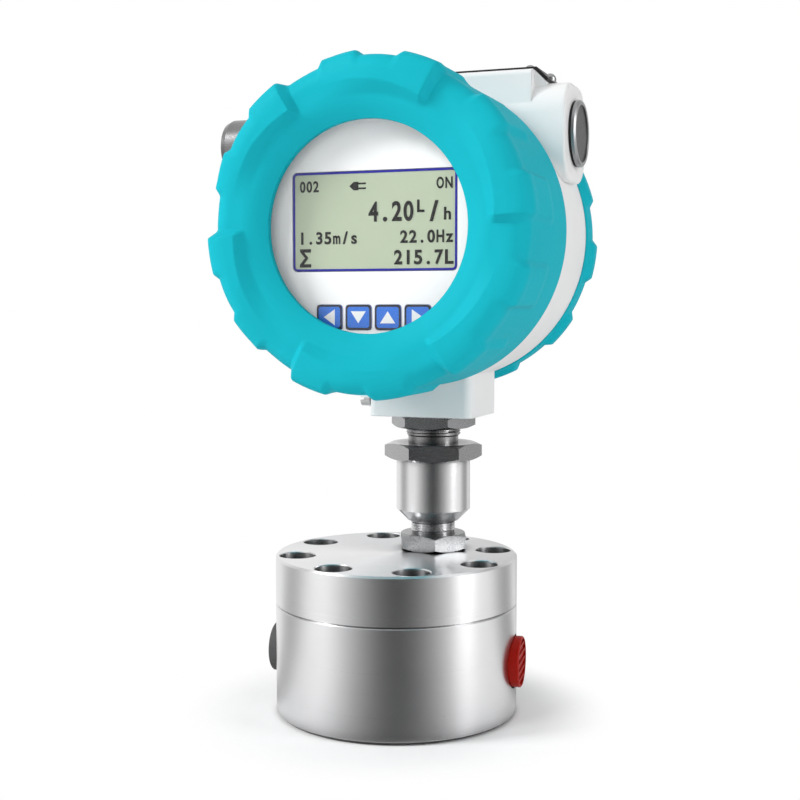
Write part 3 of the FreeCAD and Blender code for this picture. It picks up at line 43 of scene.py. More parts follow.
# Places shared with the frame
STEM_X = 11.0791
STEM_Y = 13.2035
LID_TOP = 58.4
HEAD_HEIGHT = 176.3
HEAD_TURN = math.radians(-6)
ENTRY_HEIGHT = 35.9
PLUG_FACE_RADIUS = 10.2
PLUG_FACE_BLEND = 0.1

# Threads that show on the stem: radius, lower and upper end counted from the lid top
STEM_THREADS = {"pickup_thread": (8.0, 6.3, 11.0), "nipple_thread": (10.0, 43.7, 46.3)}
THREAD_PITCH = 0.9
THREAD_PROUD = 0.4
THREAD_SUNK = 0.1
THREAD_STEPS = 60

# Corners of a ridge: reach from the stem's surface, and rise as a share of the pitch
THREAD_SECTION = ((-THREAD_SUNK, 0.0), (THREAD_PROUD, 0.5), (-THREAD_SUNK, 1.0))

# Display
LCD_WIDTH = 58.3
LCD_HEIGHT = 33.0
LCD_RAISE = 2.3
LCD_CORNER = 1.6
LCD_FRONT = 61.0
LCD_OUTLINE_WIDTH = 0.75
LCD_OUTLINE_LIFT = 0.12
LCD_MARK_LIFT = 0.06
LCD_MARK_THICKNESS = 0.04
LCD_MARK_BOLD = 0.042
LCD_CELL_FILL = 0.84
CAPITAL_SHARE = 0.72
CORNER_STEPS = 5

# Readings: text, left end and foot from the display's middle, height of its capitals, width of a cell
LCD_READINGS = {
    "lcd_channel": ("002", -26.8, 10.1, 3.6, 2.45),
    "lcd_state": ("ON", 21.8, 10.1, 3.6, 3.0),
    "lcd_flow": ("4.20", -2.0, 0.0, 6.3, 4.1),
    "lcd_flow_unit": ("L", 14.6, 2.6, 4.0, 3.7),
    "lcd_flow_slash": ("/", 18.6, -0.2, 6.4, 5.2),
    "lcd_flow_time": ("h", 23.8, 0.0, 4.0, 4.0),
    "lcd_speed": ("1.35m/s", -27.4, -7.3, 4.0, 3.15),
    "lcd_pulse": ("22.0Hz", 9.2, -7.3, 4.0, 3.15),
    "lcd_sum": ("Σ", -27.2, -14.9, 5.6, 5.0),
    "lcd_total": ("215.7L", 7.0, -14.3, 4.6, 3.5),
}

# Supply sign, from the display's middle: a plug body with a pointed back, and the feet of its two prongs
SUPPLY_POINT = (-8.6, 11.6)
SUPPLY_SHOULDER = -7.0
SUPPLY_FRONT = -5.3
SUPPLY_LOW = 10.2
SUPPLY_HIGH = 13.0
SUPPLY_PRONGS = {"lcd_supply_upper": 12.1, "lcd_supply_lower": 10.5}
PRONG_END = -2.6
PRONG_WIDTH = 0.6

# Keys, each with the turn of its arrow in degrees
KEY_TURNS = {"key_left": 90, "key_down": 180, "key_up": 0, "key_right": 270}
KEY_WIDTH = 9.1
KEY_HEIGHT = 8.2
KEY_PITCH = 10.5
KEY_TOP = -25.5
KEY_CORNER = 1.2
KEY_FRONT = 61.6
KEY_BORDER = 0.6
KEY_MARK_LIFT = 0.05
KEY_ARROW = 5.4
KEY_ARROW_DEPTH = 4.0

# Covers, drawn with the soft swells of the castings in place of their plainer frame solids
COVER_START = 17.3
COVER_EDGE = 0.5
COVER_RADIUS = 55.0
COVER_FRONT = 72.4
COVER_ROUNDING = 6.5
CREST_RADIUS = 44.0
WINDOW_RADIUS = 35.0
WINDOW_EDGE = 69.3
REAR_SHOULDER = 25.3
REAR_ROUNDING = 10.5
REAR_FACE = 35.1

# Inside of the covers: the steps for the seal, the thread, the bore and the window
COVER_SEAL_RADIUS = 53.1
COVER_SEAL_STEP = 18.25
COVER_THREAD_RADIUS = 50.35
FRONT_THREAD_END = 31.5
REAR_THREAD_END = 26.5
COVER_BORE_RADIUS = 46.8
RETAINER_STEP = 61.7
GLASS_RADIUS = 41.8
GLASS_STEP = 67.3
REAR_CEILING = 31.3
COVER_MOUTH = ((COVER_THREAD_RADIUS, COVER_SEAL_STEP), (COVER_SEAL_RADIUS, COVER_SEAL_STEP),
               (COVER_SEAL_RADIUS, COVER_START))
FRONT_INSIDE = ((WINDOW_RADIUS, GLASS_STEP), (GLASS_RADIUS, GLASS_STEP), (GLASS_RADIUS, RETAINER_STEP),
                (COVER_BORE_RADIUS, RETAINER_STEP), (COVER_BORE_RADIUS, FRONT_THREAD_END),
                (COVER_THREAD_RADIUS, FRONT_THREAD_END), *COVER_MOUTH)
REAR_INSIDE = ((COVER_BORE_RADIUS, REAR_CEILING), (COVER_BORE_RADIUS, REAR_THREAD_END),
               (COVER_THREAD_RADIUS, REAR_THREAD_END), *COVER_MOUTH)

# Fineness of the covers' surface
COVER_COLUMNS = 720
WALL_ROWS = 30
ARC_ROWS = 14
FACE_ROWS = 12
SLOPE_ROWS = 14
REAR_ROWS = 12
SHARP_ANGLE = 35

# Swells of the covers: turns in degrees, counted from the first; a pair is where a change begins and ends
SWELL_START = 2.5
PAD_COUNT = 6
PAD_LIFT = 3.0
PAD_LEAN = 0.2
PAD_RISE = (-2.4, 0.6)
PAD_FADE = (20.0, 52.0)
PAD_FOOT = 42.4
PAD_CREST = 44.6
PAD_SWEEP = 4.0
PAD_HEEL = (62.0, 70.0)
LUG_COUNT = 12
LUG_LIFT = 1.85
LUG_RISE = 0.9
LUG_CENTRE = 6.9
LUG_FLANK = (6.2, 8.5)
LUG_HEEL = (36.0, 45.0)
LUG_TOE = (48.0, 53.5)
REAR_LUG_HEEL = (19.0, 22.0)
REAR_LUG_TOE = (49.0, 54.8)

# Camera, worked out from the round block's ellipses and the head's circles together
CAMERA_LENS = 58.5
CAMERA_SENSOR = 36.0
CAMERA_DISTANCE = 483.18
CAMERA_PITCH = math.radians(4.09)
CAMERA_AZIMUTH = math.radians(14.25)
CAMERA_TARGET_HEIGHT = 115.65
CAMERA_TARGET_ASIDE = 1.34

# Painted shade in the steel's hollows: how far it reaches, how dark it gets, and the openness where that
# begins and ends
HOLLOW_REACH = 7.0
HOLLOW_SHADE = (0.1, 0.1, 0.1)
HOLLOW_OPENNESS = (0.2, 0.95)
HOLLOW_SAMPLES = 8

# Finishes: where most of a noise lies, and how far roughness swings below and above its middle
NOISE_RANGE = (0.25, 0.75)
ROUGH_BELOW = 0.05
ROUGH_ABOVE = 0.06
GROUND_SWING = 0.08

# Turn of the brush marks as a share of a full turn, line width in a cell grid, samples of a soft edge
BRUSH_TURN = 0.25
CELL_GAP = 0.03
EDGE_SAMPLES = 6

# Written colours become light by the standard curve: a straight foot, then a power
CHANNEL_TOP = 255
CURVE_FOOT = 0.04045
CURVE_FOOT_SLOPE = 12.92
CURVE_OFFSET = 0.055
CURVE_POWER = 2.4

# Floor, reach and drop in metres; its shadow fades to white between two distances from the block's axis
FLOOR_REACH = 6.0
FLOOR_DROP = 0.0005
FLOOR_DARK = (0.9, 0.9, 0.9)
FLOOR_LIGHT = (0.94, 0.94, 0.94)
SHADOW_FADE = (46.0, 82.0)

# Strength of the surroundings as a light, and as they are seen
WORLD_LIGHT = 0.17
WORLD_SEEN = 1.0

# Dark flags round the set, seen only in reflections: turn from the camera's side, half width, depth
FLAGS = {
    "front_flag": (0, 62, 0.95),
    "left_flag": (-106, 26, 0.5),
    "right_flag": (114, 26, 0.6),
    "back_flag": (158, 26, 0.4),
}
FLAG_DARK = (0.02, 0.02, 0.02)
FLAG_LIGHT = (0.05, 0.05, 0.05)
FLAG_FALLOFF = 1.5
FLAG_COLUMNS = 24
FLAG_INNER = 46.5
FLAG_OUTER = 330.0
FLAG_FOOT = 0.3
FLAG_TOP = 600.0

# Lamps: place and size in metres, power in watts, whether reflections show the lamp; all aim at one point
LAMPS = {
    "key_lamp": ((-1.15, -0.6, 0.95), (0.4, 0.6), 16.0, True),
    "front_lamp": ((0.15, -1.3, 0.6), (0.9, 0.7), 3.4, False),
    "upper_lamp": ((-0.7, -1.0, 1.1), (0.4, 0.4), 5.0, False),
    "fill_lamp": ((1.15, -0.2, 0.5), (0.4, 0.9), 6.0, True),
    "top_lamp": ((0.1, 0.1, 1.3), (0.8, 0.8), 1.5, False),
    "back_lamp": ((0.3, 1.3, 0.7), (0.8, 0.6), 4.0, False),
}
LAMP_TARGET = Vector((0, 0, 0.12))


# Node helpers

def new_material(name):
    material = bpy.data.materials.new(name)
    material.use_nodes = True
    tree = material.node_tree
    return material, tree, tree.nodes["Principled BSDF"]


def object_coordinates(tree):
    return tree.nodes.new("ShaderNodeTexCoord").outputs["Object"]


def math_node(tree, operation, *values):
    node = tree.nodes.new("ShaderNodeMath")
    node.operation = operation
    for socket, value in zip(node.inputs, values):
        if isinstance(value, (int, float)):
            socket.default_value = value
        else:
            tree.links.new(value, socket)
    return node.outputs[0]


def noise(tree, vector, scale, detail=3.0, roughness=0.5):
    node = tree.nodes.new("ShaderNodeTexNoise")
    node.inputs["Scale"].default_value = scale
    node.inputs["Detail"].default_value = detail
    node.inputs["Roughness"].default_value = roughness
    tree.links.new(vector, node.inputs["Vector"])
    return node.outputs["Fac"]


# A noise stretched to run from low to high
def spread(tree, factor, low, high):
    node = tree.nodes.new("ShaderNodeMapRange")
    node.inputs["From Min"].default_value = NOISE_RANGE[0]
    node.inputs["From Max"].default_value = NOISE_RANGE[1]
    node.inputs["To Min"].default_value = low
    node.inputs["To Max"].default_value = high
    tree.links.new(factor, node.inputs["Value"])
    return node.outputs["Result"]


def step_between(tree, value, low, high):
    node = tree.nodes.new("ShaderNodeMapRange")
    node.interpolation_type = "SMOOTHSTEP"
    node.inputs["From Min"].default_value = low
    node.inputs["From Max"].default_value = high
    tree.links.new(value, node.inputs["Value"])
    return node.outputs["Result"]


def two_colours(tree, factor, first, second):
    node = tree.nodes.new("ShaderNodeMix")
    node.data_type = "RGBA"
    tree.links.new(factor, node.inputs["Factor"])
    node.inputs["A"].default_value = (*first, 1)
    node.inputs["B"].default_value = (*second, 1)
    return node.outputs["Result"]


def shade(colour, share):
    return tuple(channel * share for channel in colour)


# One colour that runs between a darker and a lighter share of itself
def clouded(tree, factor, colour, dark, light):
    return two_colours(tree, factor, shade(colour, dark), shade(colour, light))


def linear(channel):
    value = channel / CHANNEL_TOP
    if value <= CURVE_FOOT:
        return value / CURVE_FOOT_SLOPE
    return ((value + CURVE_OFFSET) / (1 + CURVE_OFFSET)) ** CURVE_POWER


def srgb(red, green, blue):
    return linear(red), linear(green), linear(blue)


def add_bump(tree, shader, height, strength, distance):
    node = tree.nodes.new("ShaderNodeBump")
    node.inputs["Strength"].default_value = strength
    node.inputs["Distance"].default_value = distance * MM
    tree.links.new(height, node.inputs["Height"])
    tree.links.new(node.outputs["Normal"], shader.inputs["Normal"])


def mixed_surface(tree, factor, first, second):
    mix = tree.nodes.new("ShaderNodeMixShader")
    for source, socket in zip((factor, first.outputs[0], second.outputs[0]), mix.inputs):
        tree.links.new(source, socket)
    tree.links.new(mix.outputs[0], tree.nodes["Material Output"].inputs["Surface"])


def split(tree, coordinates):
    node = tree.nodes.new("ShaderNodeSeparateXYZ")
    tree.links.new(coordinates, node.inputs[0])
    return node.outputs


# Distance from an axis, from the two coordinates across it
def axis_distance(tree, first, second):
    squares = [math_node(tree, "POWER", value, 2.0) for value in (first, second)]
    return math_node(tree, "SQRT", math_node(tree, "ADD", *squares))


def placed_coordinates(tree, place, turn):
    node = tree.nodes.new("ShaderNodeMapping")
    node.vector_type = "TEXTURE"
    node.inputs["Location"].default_value = Vector(place) * MM
    node.inputs["Rotation"].default_value = turn
    tree.links.new(object_coordinates(tree), node.inputs["Vector"])
    return node.outputs[0]


# Lathe coordinates: distance from an upright axis, and height, so that tool marks run round the piece
def lathe_coordinates(tree, axis_x, axis_y):
    parts = split(tree, placed_coordinates(tree, (axis_x, axis_y, 0), (0, 0, 0)))
    joined = tree.nodes.new("ShaderNodeCombineXYZ")
    tree.links.new(axis_distance(tree, parts["X"], parts["Y"]), joined.inputs["X"])
    tree.links.new(parts["Z"], joined.inputs["Z"])
    return joined.outputs[0]


# A grid of cells in two shares of a colour, with lines in a third
def cell_grid(tree, vector, colour, scale, second, lines):
    cells = tree.nodes.new("ShaderNodeTexBrick")
    cells.inputs["Scale"].default_value = scale
    cells.inputs["Mortar Size"].default_value = CELL_GAP
    cells.inputs["Color1"].default_value = (*colour, 1)
    cells.inputs["Color2"].default_value = (*shade(colour, second), 1)
    cells.inputs["Mortar"].default_value = (*shade(colour, lines), 1)
    tree.links.new(vector, cells.inputs["Vector"])
    return cells


# Finishes

# Painted shade: ambient occlusion darkens the steel's colour in screw holes, seams and corners, where less
# light reaches
def painted_hollow_shade(tree, colour):
    occlusion = tree.nodes.new("ShaderNodeAmbientOcclusion")
    occlusion.samples = HOLLOW_SAMPLES
    occlusion.inputs["Distance"].default_value = HOLLOW_REACH * MM
    mix = tree.nodes.new("ShaderNodeMix")
    mix.data_type = "RGBA"
    mix.blend_type = "MULTIPLY"
    mix.inputs["Factor"].default_value = 1.0
    tree.links.new(colour, mix.inputs["A"])
    openness = step_between(tree, occlusion.outputs["AO"], *HOLLOW_OPENNESS)
    tree.links.new(two_colours(tree, openness, HOLLOW_SHADE, (1, 1, 1)), mix.inputs["B"])
    return mix.outputs["Result"]


def turned_steel(name, axis_x, axis_y, colour, rough, anisotropic):
    material, tree, shader = new_material(name)
    lathe = lathe_coordinates(tree, axis_x, axis_y)
    lines = noise(tree, lathe, scale=1400, detail=4.0, roughness=0.7)
    clouds = noise(tree, object_coordinates(tree), scale=60)
    bright = clouded(tree, clouds, colour, dark=0.93, light=1.05)
    # Painted shade in the hollows darkens the clouded steel colour
    tree.links.new(painted_hollow_shade(tree, bright), shader.inputs["Base Color"])
    tree.links.new(spread(tree, lines, rough - ROUGH_BELOW, rough + ROUGH_ABOVE), shader.inputs["Roughness"])
    shader.inputs["Metallic"].default_value = 1.0
    shader.inputs["Anisotropic"].default_value = anisotropic
    shader.inputs["Anisotropic Rotation"].default_value = BRUSH_TURN
    tangent = tree.nodes.new("ShaderNodeTangent")
    tangent.direction_type = "RADIAL"
    tangent.axis = "Z"
    tree.links.new(tangent.outputs[0], shader.inputs["Tangent"])
    add_bump(tree, shader, lines, strength=0.12, distance=0.05)
    return material


def ground_steel(name, colour, rough):
    material, tree, shader = new_material(name)
    coordinates = object_coordinates(tree)
    clouds = noise(tree, coordinates, scale=220, detail=4.0)
    grit = noise(tree, coordinates, scale=2600, roughness=0.7)
    tree.links.new(clouded(tree, clouds, colour, dark=0.86, light=1.08), shader.inputs["Base Color"])
    tree.links.new(spread(tree, grit, rough - GROUND_SWING, rough + GROUND_SWING), shader.inputs["Roughness"])
    shader.inputs["Metallic"].default_value = 1.0
    add_bump(tree, shader, grit, strength=0.15, distance=0.05)
    return material


# Blanking plug: bright turned rim round a dark face
def plug_finish(name, rim, face):
    material, tree, shader = new_material(name)
    place = (STEM_X, STEM_Y, HEAD_HEIGHT + ENTRY_HEIGHT)
    coordinates = placed_coordinates(tree, place, (0, 0, HEAD_TURN))
    parts = split(tree, coordinates)
    radius = axis_distance(tree, parts["Y"], parts["Z"])
    inner = (PLUG_FACE_RADIUS - PLUG_FACE_BLEND) * MM
    outer = (PLUG_FACE_RADIUS + PLUG_FACE_BLEND) * MM
    outside = step_between(tree, radius, inner, outer)
    grit = noise(tree, coordinates, scale=1800, roughness=0.7)
    tree.links.new(two_colours(tree, outside, face, rim), shader.inputs["Base Color"])
    tree.links.new(spread(tree, grit, low=0.28, high=0.44), shader.inputs["Roughness"])
    shader.inputs["Metallic"].default_value = 1.0
    add_bump(tree, shader, grit, strength=0.15, distance=0.05)
    return material


# A coloured surface: clouds vary its colour, a fine grain its gloss and height
def coloured(name, colour, rough, gloss, grain_scale, grain_strength, grain_depth, variation):
    material, tree, shader = new_material(name)
    coordinates = object_coordinates(tree)
    clouds = noise(tree, coordinates, scale=45)
    grain = noise(tree, coordinates, grain_scale)
    tree.links.new(clouded(tree, clouds, colour, 1 - variation, 1 + variation), shader.inputs["Base Color"])
    tree.links.new(spread(tree, grain, rough - ROUGH_BELOW, rough + ROUGH_ABOVE), shader.inputs["Roughness"])
    shader.inputs["Specular IOR Level"].default_value = gloss
    add_bump(tree, shader, grain, grain_strength, grain_depth)
    return material


def cast_paint(name, colour, rough, gloss):
    return coloured(name, colour, rough, gloss, grain_scale=900, grain_strength=0.1, grain_depth=0.12,
                    variation=0.03)


def moulded(name, colour, rough, gloss=0.25):
    return coloured(name, colour, rough, gloss, grain_scale=1600, grain_strength=0.12, grain_depth=0.08,
                    variation=0.05)


def rubber(name, colour):
    return coloured(name, colour, rough=0.7, gloss=0.3, grain_scale=2200, grain_strength=0.2, grain_depth=0.1,
                    variation=0.12)


# Cast edges, softened as thick paint softens them
def soft_edges(material, radius):
    tree = material.node_tree
    bump = next(node for node in tree.nodes if node.type == "BUMP")
    bevel = tree.nodes.new("ShaderNodeBevel")
    bevel.samples = EDGE_SAMPLES
    bevel.inputs["Radius"].default_value = radius * MM
    tree.links.new(bevel.outputs[0], bump.inputs["Normal"])
    return material


def winding(name, colour):
    material, tree, shader = new_material(name)
    wave = tree.nodes.new("ShaderNodeTexWave")
    wave.bands_direction = "Z"
    wave.inputs["Scale"].default_value = 900
    wave.inputs["Distortion"].default_value = 0.6
    tree.links.new(object_coordinates(tree), wave.inputs["Vector"])
    wire = wave.outputs["Fac"]
    tree.links.new(clouded(tree, wire, colour, dark=0.5, light=1.0), shader.inputs["Base Color"])
    tree.links.new(spread(tree, wire, low=0.45, high=0.25), shader.inputs["Roughness"])
    shader.inputs["Metallic"].default_value = 0.9
    add_bump(tree, shader, wire, strength=0.6, distance=0.2)
    return material


def circuit_board(name, colour):
    material, tree, shader = new_material(name)
    coordinates = object_coordinates(tree)
    cells = cell_grid(tree, coordinates, colour, scale=260, second=0.85, lines=1.9)
    gloss = noise(tree, coordinates, scale=700)
    tree.links.new(cells.outputs["Color"], shader.inputs["Base Color"])
    tree.links.new(spread(tree, gloss, low=0.3, high=0.5), shader.inputs["Roughness"])
    add_bump(tree, shader, cells.outputs["Fac"], strength=0.2, distance=0.05)
    return material


# Reflective display glass with its fine cell grid
def display_glass(name, colour):
    material, tree, shader = new_material(name)
    upright = placed_coordinates(tree, (0, 0, 0), (math.radians(90), 0, HEAD_TURN))
    cells = cell_grid(tree, upright, colour, scale=1000, second=0.985, lines=1.03)
    cells.offset = 0.0
    cells.inputs["Brick Width"].default_value = 0.5
    cells.inputs["Row Height"].default_value = 0.5
    gloss = noise(tree, object_coordinates(tree), scale=200)
    tree.links.new(cells.outputs["Color"], shader.inputs["Base Color"])
    tree.links.new(spread(tree, gloss, low=0.28, high=0.36), shader.inputs["Roughness"])
    add_bump(tree, shader, cells.outputs["Fac"], strength=0.02, distance=0.02)
    return material


# Clear pane that lets the lamps through to the display
def pane(name):
    material, tree, shader = new_material(name)
    shader.inputs["Base Color"].default_value = (1, 1, 1, 1)
    shader.inputs["Transmission Weight"].default_value = 1.0
    shader.inputs["IOR"].default_value = 1.45
    smudges = noise(tree, object_coordinates(tree), scale=35, detail=4.0)
    tree.links.new(spread(tree, smudges, low=0.0, high=0.03), shader.inputs["Roughness"])
    add_bump(tree, shader, smudges, strength=0.004, distance=0.05)
    clear = tree.nodes.new("ShaderNodeBsdfTransparent")
    path = tree.nodes.new("ShaderNodeLightPath")
    indirect = math_node(tree, "MAXIMUM", path.outputs["Is Shadow Ray"], path.outputs["Is Diffuse Ray"])
    mixed_surface(tree, indirect, shader, clear)
    return material


# Metals
STEEL = srgb(224, 224, 225)
block_steel = turned_steel("block_steel", 0, 0, STEEL, rough=0.3, anisotropic=0.7)
barrel_steel = turned_steel("barrel_steel", STEM_X, STEM_Y, STEEL, rough=0.2, anisotropic=0.5)
union_steel = turned_steel("union_steel", STEM_X, STEM_Y, srgb(190, 190, 191), rough=0.24, anisotropic=0.3)
nut_steel = ground_steel("nut_steel", srgb(158, 159, 160), rough=0.26)
gland_steel = ground_steel("gland_steel", srgb(132, 132, 133), rough=0.3)
base_nut_steel = ground_steel("base_nut_steel", srgb(150, 151, 152), rough=0.28)
thread_steel = ground_steel("thread_steel", srgb(205, 205, 206), rough=0.25)
zinc = ground_steel("zinc", srgb(214, 214, 214), rough=0.4)
socket_steel = ground_steel("socket_steel", srgb(62, 62, 63), rough=0.4)
screw_steel = ground_steel("screw_steel", srgb(120, 121, 123), rough=0.34)
dark_steel = ground_steel("dark_steel", srgb(96, 96, 98), rough=0.4)
plug_steel = plug_finish("plug_steel", rim=srgb(158, 159, 160), face=srgb(56, 56, 57))
bronze = ground_steel("bronze", srgb(196, 152, 92), rough=0.35)
copper = winding("copper_winding", srgb(190, 110, 70))

# Plastics, rubber and boards
red_plastic = moulded("red_plastic", srgb(160, 22, 11), rough=0.42, gloss=0.12)
grey_plastic = moulded("grey_plastic", srgb(84, 84, 85), rough=0.45, gloss=0.15)
black_plastic = moulded("black_plastic", srgb(40, 40, 42), rough=0.45)
cable_sheath = moulded("cable_sheath", srgb(90, 91, 92), rough=0.5)
terminal_green = moulded("terminal_green", srgb(52, 140, 80), rough=0.45)
black_rubber = rubber("black_rubber", srgb(30, 30, 31))
board_green = circuit_board("board_green", srgb(24, 104, 62))

# Paints
teal_paint = soft_edges(cast_paint("teal_paint", srgb(26, 175, 190), rough=0.5, gloss=0.02), radius=0.4)
white_paint = soft_edges(cast_paint("white_paint", srgb(232, 232, 232), rough=0.46, gloss=0.3), radius=0.6)
plate_black = cast_paint("plate_black", srgb(30, 30, 31), rough=0.4, gloss=0.3)
retainer_grey = cast_paint("retainer_grey", srgb(150, 151, 152), rough=0.4, gloss=0.3)

# Display, keys and window
panel_white = moulded("panel_white", srgb(253, 253, 253), rough=0.5)
lcd_green = display_glass("lcd_green", srgb(180, 192, 166))
lcd_ink = moulded("lcd_ink", srgb(8, 9, 8), rough=0.5, gloss=0.05)
lcd_blue = moulded("lcd_blue", srgb(10, 11, 150), rough=0.5, gloss=0.05)
key_blue = moulded("key_blue", srgb(46, 116, 218), rough=0.35)
key_white = moulded("key_white", srgb(246, 246, 246), rough=0.4)
key_black = moulded("key_black", srgb(20, 21, 26), rough=0.4)
window_clear = pane("window_clear")

FINISHES = {
    block_steel: ["meter_body", "meter_lid"],
    barrel_steel: ["pickup_tube"],
    union_steel: ["stem_union"],
    base_nut_steel: ["pickup_locknut"],
    nut_steel: ["head_locknut", "nameplate_screws", "carrier_screws", "board_screws", "terminal_screws",
                "terminal_board_screws", "carrier_standoffs", "terminal_standoffs"],
    zinc: ["ground_screw", "ground_washer"],
    socket_steel: ["lid_screws"],
    screw_steel: ["front_gear", "rear_gear", "front_gear_shaft", "rear_gear_shaft"],
    dark_steel: ["pickup_magnet"],
    plug_steel: ["blanking_plug"],
    bronze: ["front_gear_bush", "rear_gear_bush"],
    copper: ["pickup_coil", "pickup_wires"],
    red_plastic: ["outlet_plug"],
    grey_plastic: ["inlet_plug"],
    black_plastic: ["display_carrier", "lcd_frame", "key_switches", "signal_connector"],
    cable_sheath: ["signal_cable"],
    terminal_green: ["terminal_blocks"],
    black_rubber: ["chamber_seal", "stem_seal", "front_cover_seal", "rear_cover_seal", "window_gasket",
                   "blanking_plug_seal", "gland_seal", "gland_insert"],
    board_green: ["pickup_board", "main_board", "terminal_board"],
    teal_paint: ["front_cover", "rear_cover"],
    white_paint: ["housing_body"],
    plate_black: ["nameplate"],
    retainer_grey: ["window_retainer"],
    gland_steel: ["gland_body", "gland_nut"],
    panel_white: ["face_panel"],
    lcd_green: ["lcd_glass"],
    key_blue: ["key_left", "key_down", "key_up", "key_right"],
    window_clear: ["window_glass"],
}


def finish_frame():
    for material, names in FINISHES.items():
        for name in names:
            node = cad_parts[name]
            if not node.material_slots:
                node.data.materials.append(material)
            for slot in node.material_slots:
                slot.material = material


# Mesh helpers: pieces on the head are drawn facing the reader, x right, y up, z out of the display
ON_HEAD = (Matrix.Translation(Vector((STEM_X, STEM_Y, HEAD_HEIGHT)) * MM)
           @ Matrix.Rotation(HEAD_TURN, 4, "Z") @ Matrix.Rotation(math.radians(90), 4, "X"))
ON_STEM = Matrix.Translation(Vector((STEM_X, STEM_Y, LID_TOP)) * MM)


def new_object(name, data):
    thing = bpy.data.objects.new(name, data)
    bpy.context.scene.collection.objects.link(thing)
    return thing


def add_mesh(name, points, faces, material, body, place=ON_HEAD):
    mesh = bpy.data.meshes.new(name)
    mesh.from_pydata([place @ (Vector(point) * MM) for point in points], [], faces)
    mesh.update()
    mesh.materials.append(material)
    piece = new_object(name, mesh)
    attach(piece, body)
    return piece


def rounded_outline(width, height, corner, centre_x, centre_y):
    points = []
    for side_x, side_y, start in ((1, 1, 0), (-1, 1, 90), (-1, -1, 180), (1, -1, 270)):
        middle_x = centre_x + side_x * (width / 2 - corner)
        middle_y = centre_y + side_y * (height / 2 - corner)
        for step in range(CORNER_STEPS + 1):
            angle = math.radians(start + 90 * step / CORNER_STEPS)
            points.append((middle_x + corner * math.cos(angle), middle_y + corner * math.sin(angle)))
    return points


# A flat printed band between two outlines, with thickness
def add_band(name, outer, inner, bottom, top, material, body):
    rings = ((outer, bottom), (outer, top), (inner, top), (inner, bottom))
    count = len(outer)
    points = [(x, y, height) for outline, height in rings for x, y in outline]
    faces = []
    for ring in range(len(rings)):
        following = (ring + 1) % len(rings)
        for index in range(count):
            beside = (index + 1) % count
            faces.append((ring * count + index, ring * count + beside,
                          following * count + beside, following * count + index))
    add_mesh(name, points, faces, material, body)


def add_tile(name, outline, bottom, top, material, body):
    count = len(outline)
    points = [(x, y, bottom) for x, y in outline] + [(x, y, top) for x, y in outline]
    faces = [tuple(reversed(range(count))), tuple(range(count, 2 * count))]
    for index in range(count):
        beside = (index + 1) % count
        faces.append((index, beside, count + beside, count + index))
    add_mesh(name, points, faces, material, body)


# A ridge wound round the stem; its own width takes up the last pitch
def add_thread(name, radius, low, high):
    turns = (high - low) / THREAD_PITCH - 1
    count = round(turns * THREAD_STEPS)
    corners = len(THREAD_SECTION)
    points = []
    for step in range(count + 1):
        angle = 2 * math.pi * step / THREAD_STEPS
        start = low + THREAD_PITCH * step / THREAD_STEPS
        for reach, rise in THREAD_SECTION:
            out = radius + reach
            points.append((out * math.cos(angle), out * math.sin(angle), start + rise * THREAD_PITCH))
    first_end = tuple(range(corners))
    faces = [first_end, tuple(corners * count + corner for corner in reversed(first_end))]
    for first in range(0, corners * count, corners):
        following = first + corners
        for corner in range(corners):
            beside = (corner + 1) % corners
            faces.append((first + corner, following + corner, following + beside, first + beside))
    add_mesh(name, points, faces, thread_steel, "meter", ON_STEM)


def add_threads():
    for name, (radius, low, high) in STEM_THREADS.items():
        add_thread(name, radius, low, high)


# Covers

# How far a value has come between two limits, from 0 to 1
def ramp(value, limits):
    low, high = limits
    return min(1.0, max(0.0, (value - low) / (high - low)))


def smooth(value, limits):
    share = ramp(value, limits)
    return share * share * (3 - 2 * share)


# Profiles are rows of radius and height from the head's axis, from the rim of the wall to the face
def wall_rows(shoulder, count):
    foot = COVER_START + COVER_EDGE
    rows = [(COVER_RADIUS - COVER_EDGE, COVER_START)]
    return rows + [(COVER_RADIUS, foot + (shoulder - foot) * row / count) for row in range(count)]


def front_profile():
    corner = COVER_RADIUS - COVER_ROUNDING
    shoulder = COVER_FRONT - COVER_ROUNDING
    rows = wall_rows(shoulder, WALL_ROWS)
    for row in range(ARC_ROWS):
        angle = math.pi / 2 * row / ARC_ROWS
        rows.append((corner + COVER_ROUNDING * math.cos(angle), shoulder + COVER_ROUNDING * math.sin(angle)))
    rows += [(corner + (CREST_RADIUS - corner) * row / FACE_ROWS, COVER_FRONT) for row in range(FACE_ROWS)]
    for row in range(SLOPE_ROWS + 1):
        share = 1 - row / SLOPE_ROWS
        height = WINDOW_EDGE + (COVER_FRONT - WINDOW_EDGE) * math.sin(math.pi / 2 * share)
        rows.append((WINDOW_RADIUS + (CREST_RADIUS - WINDOW_RADIUS) * share, height))
    return rows


def rear_profile():
    rows = wall_rows(REAR_SHOULDER, REAR_ROWS)
    inner = COVER_RADIUS - REAR_ROUNDING
    for row in range(REAR_ROWS + 1):
        angle = math.pi / 2 * row / REAR_ROWS
        height = REAR_SHOULDER + (REAR_FACE - REAR_SHOULDER) * math.sin(angle)
        rows.append((inner + REAR_ROUNDING * math.cos(angle), height))
    return rows


# Crescent pads: steep at one end, fading round the face while their crest sweeps out to the rim
def pad_lift(angle, radius, height):
    pitch = 360 / PAD_COUNT
    turn = (angle - SWELL_START - PAD_RISE[0]) % pitch + PAD_RISE[0]
    crest = PAD_CREST + PAD_SWEEP * max(0.0, turn) / pitch
    strength = ramp(turn, PAD_RISE) * (1 - smooth(turn, PAD_FADE))
    return PAD_LIFT * strength * ramp(radius, (PAD_FOOT, crest)) * smooth(height, PAD_HEEL)


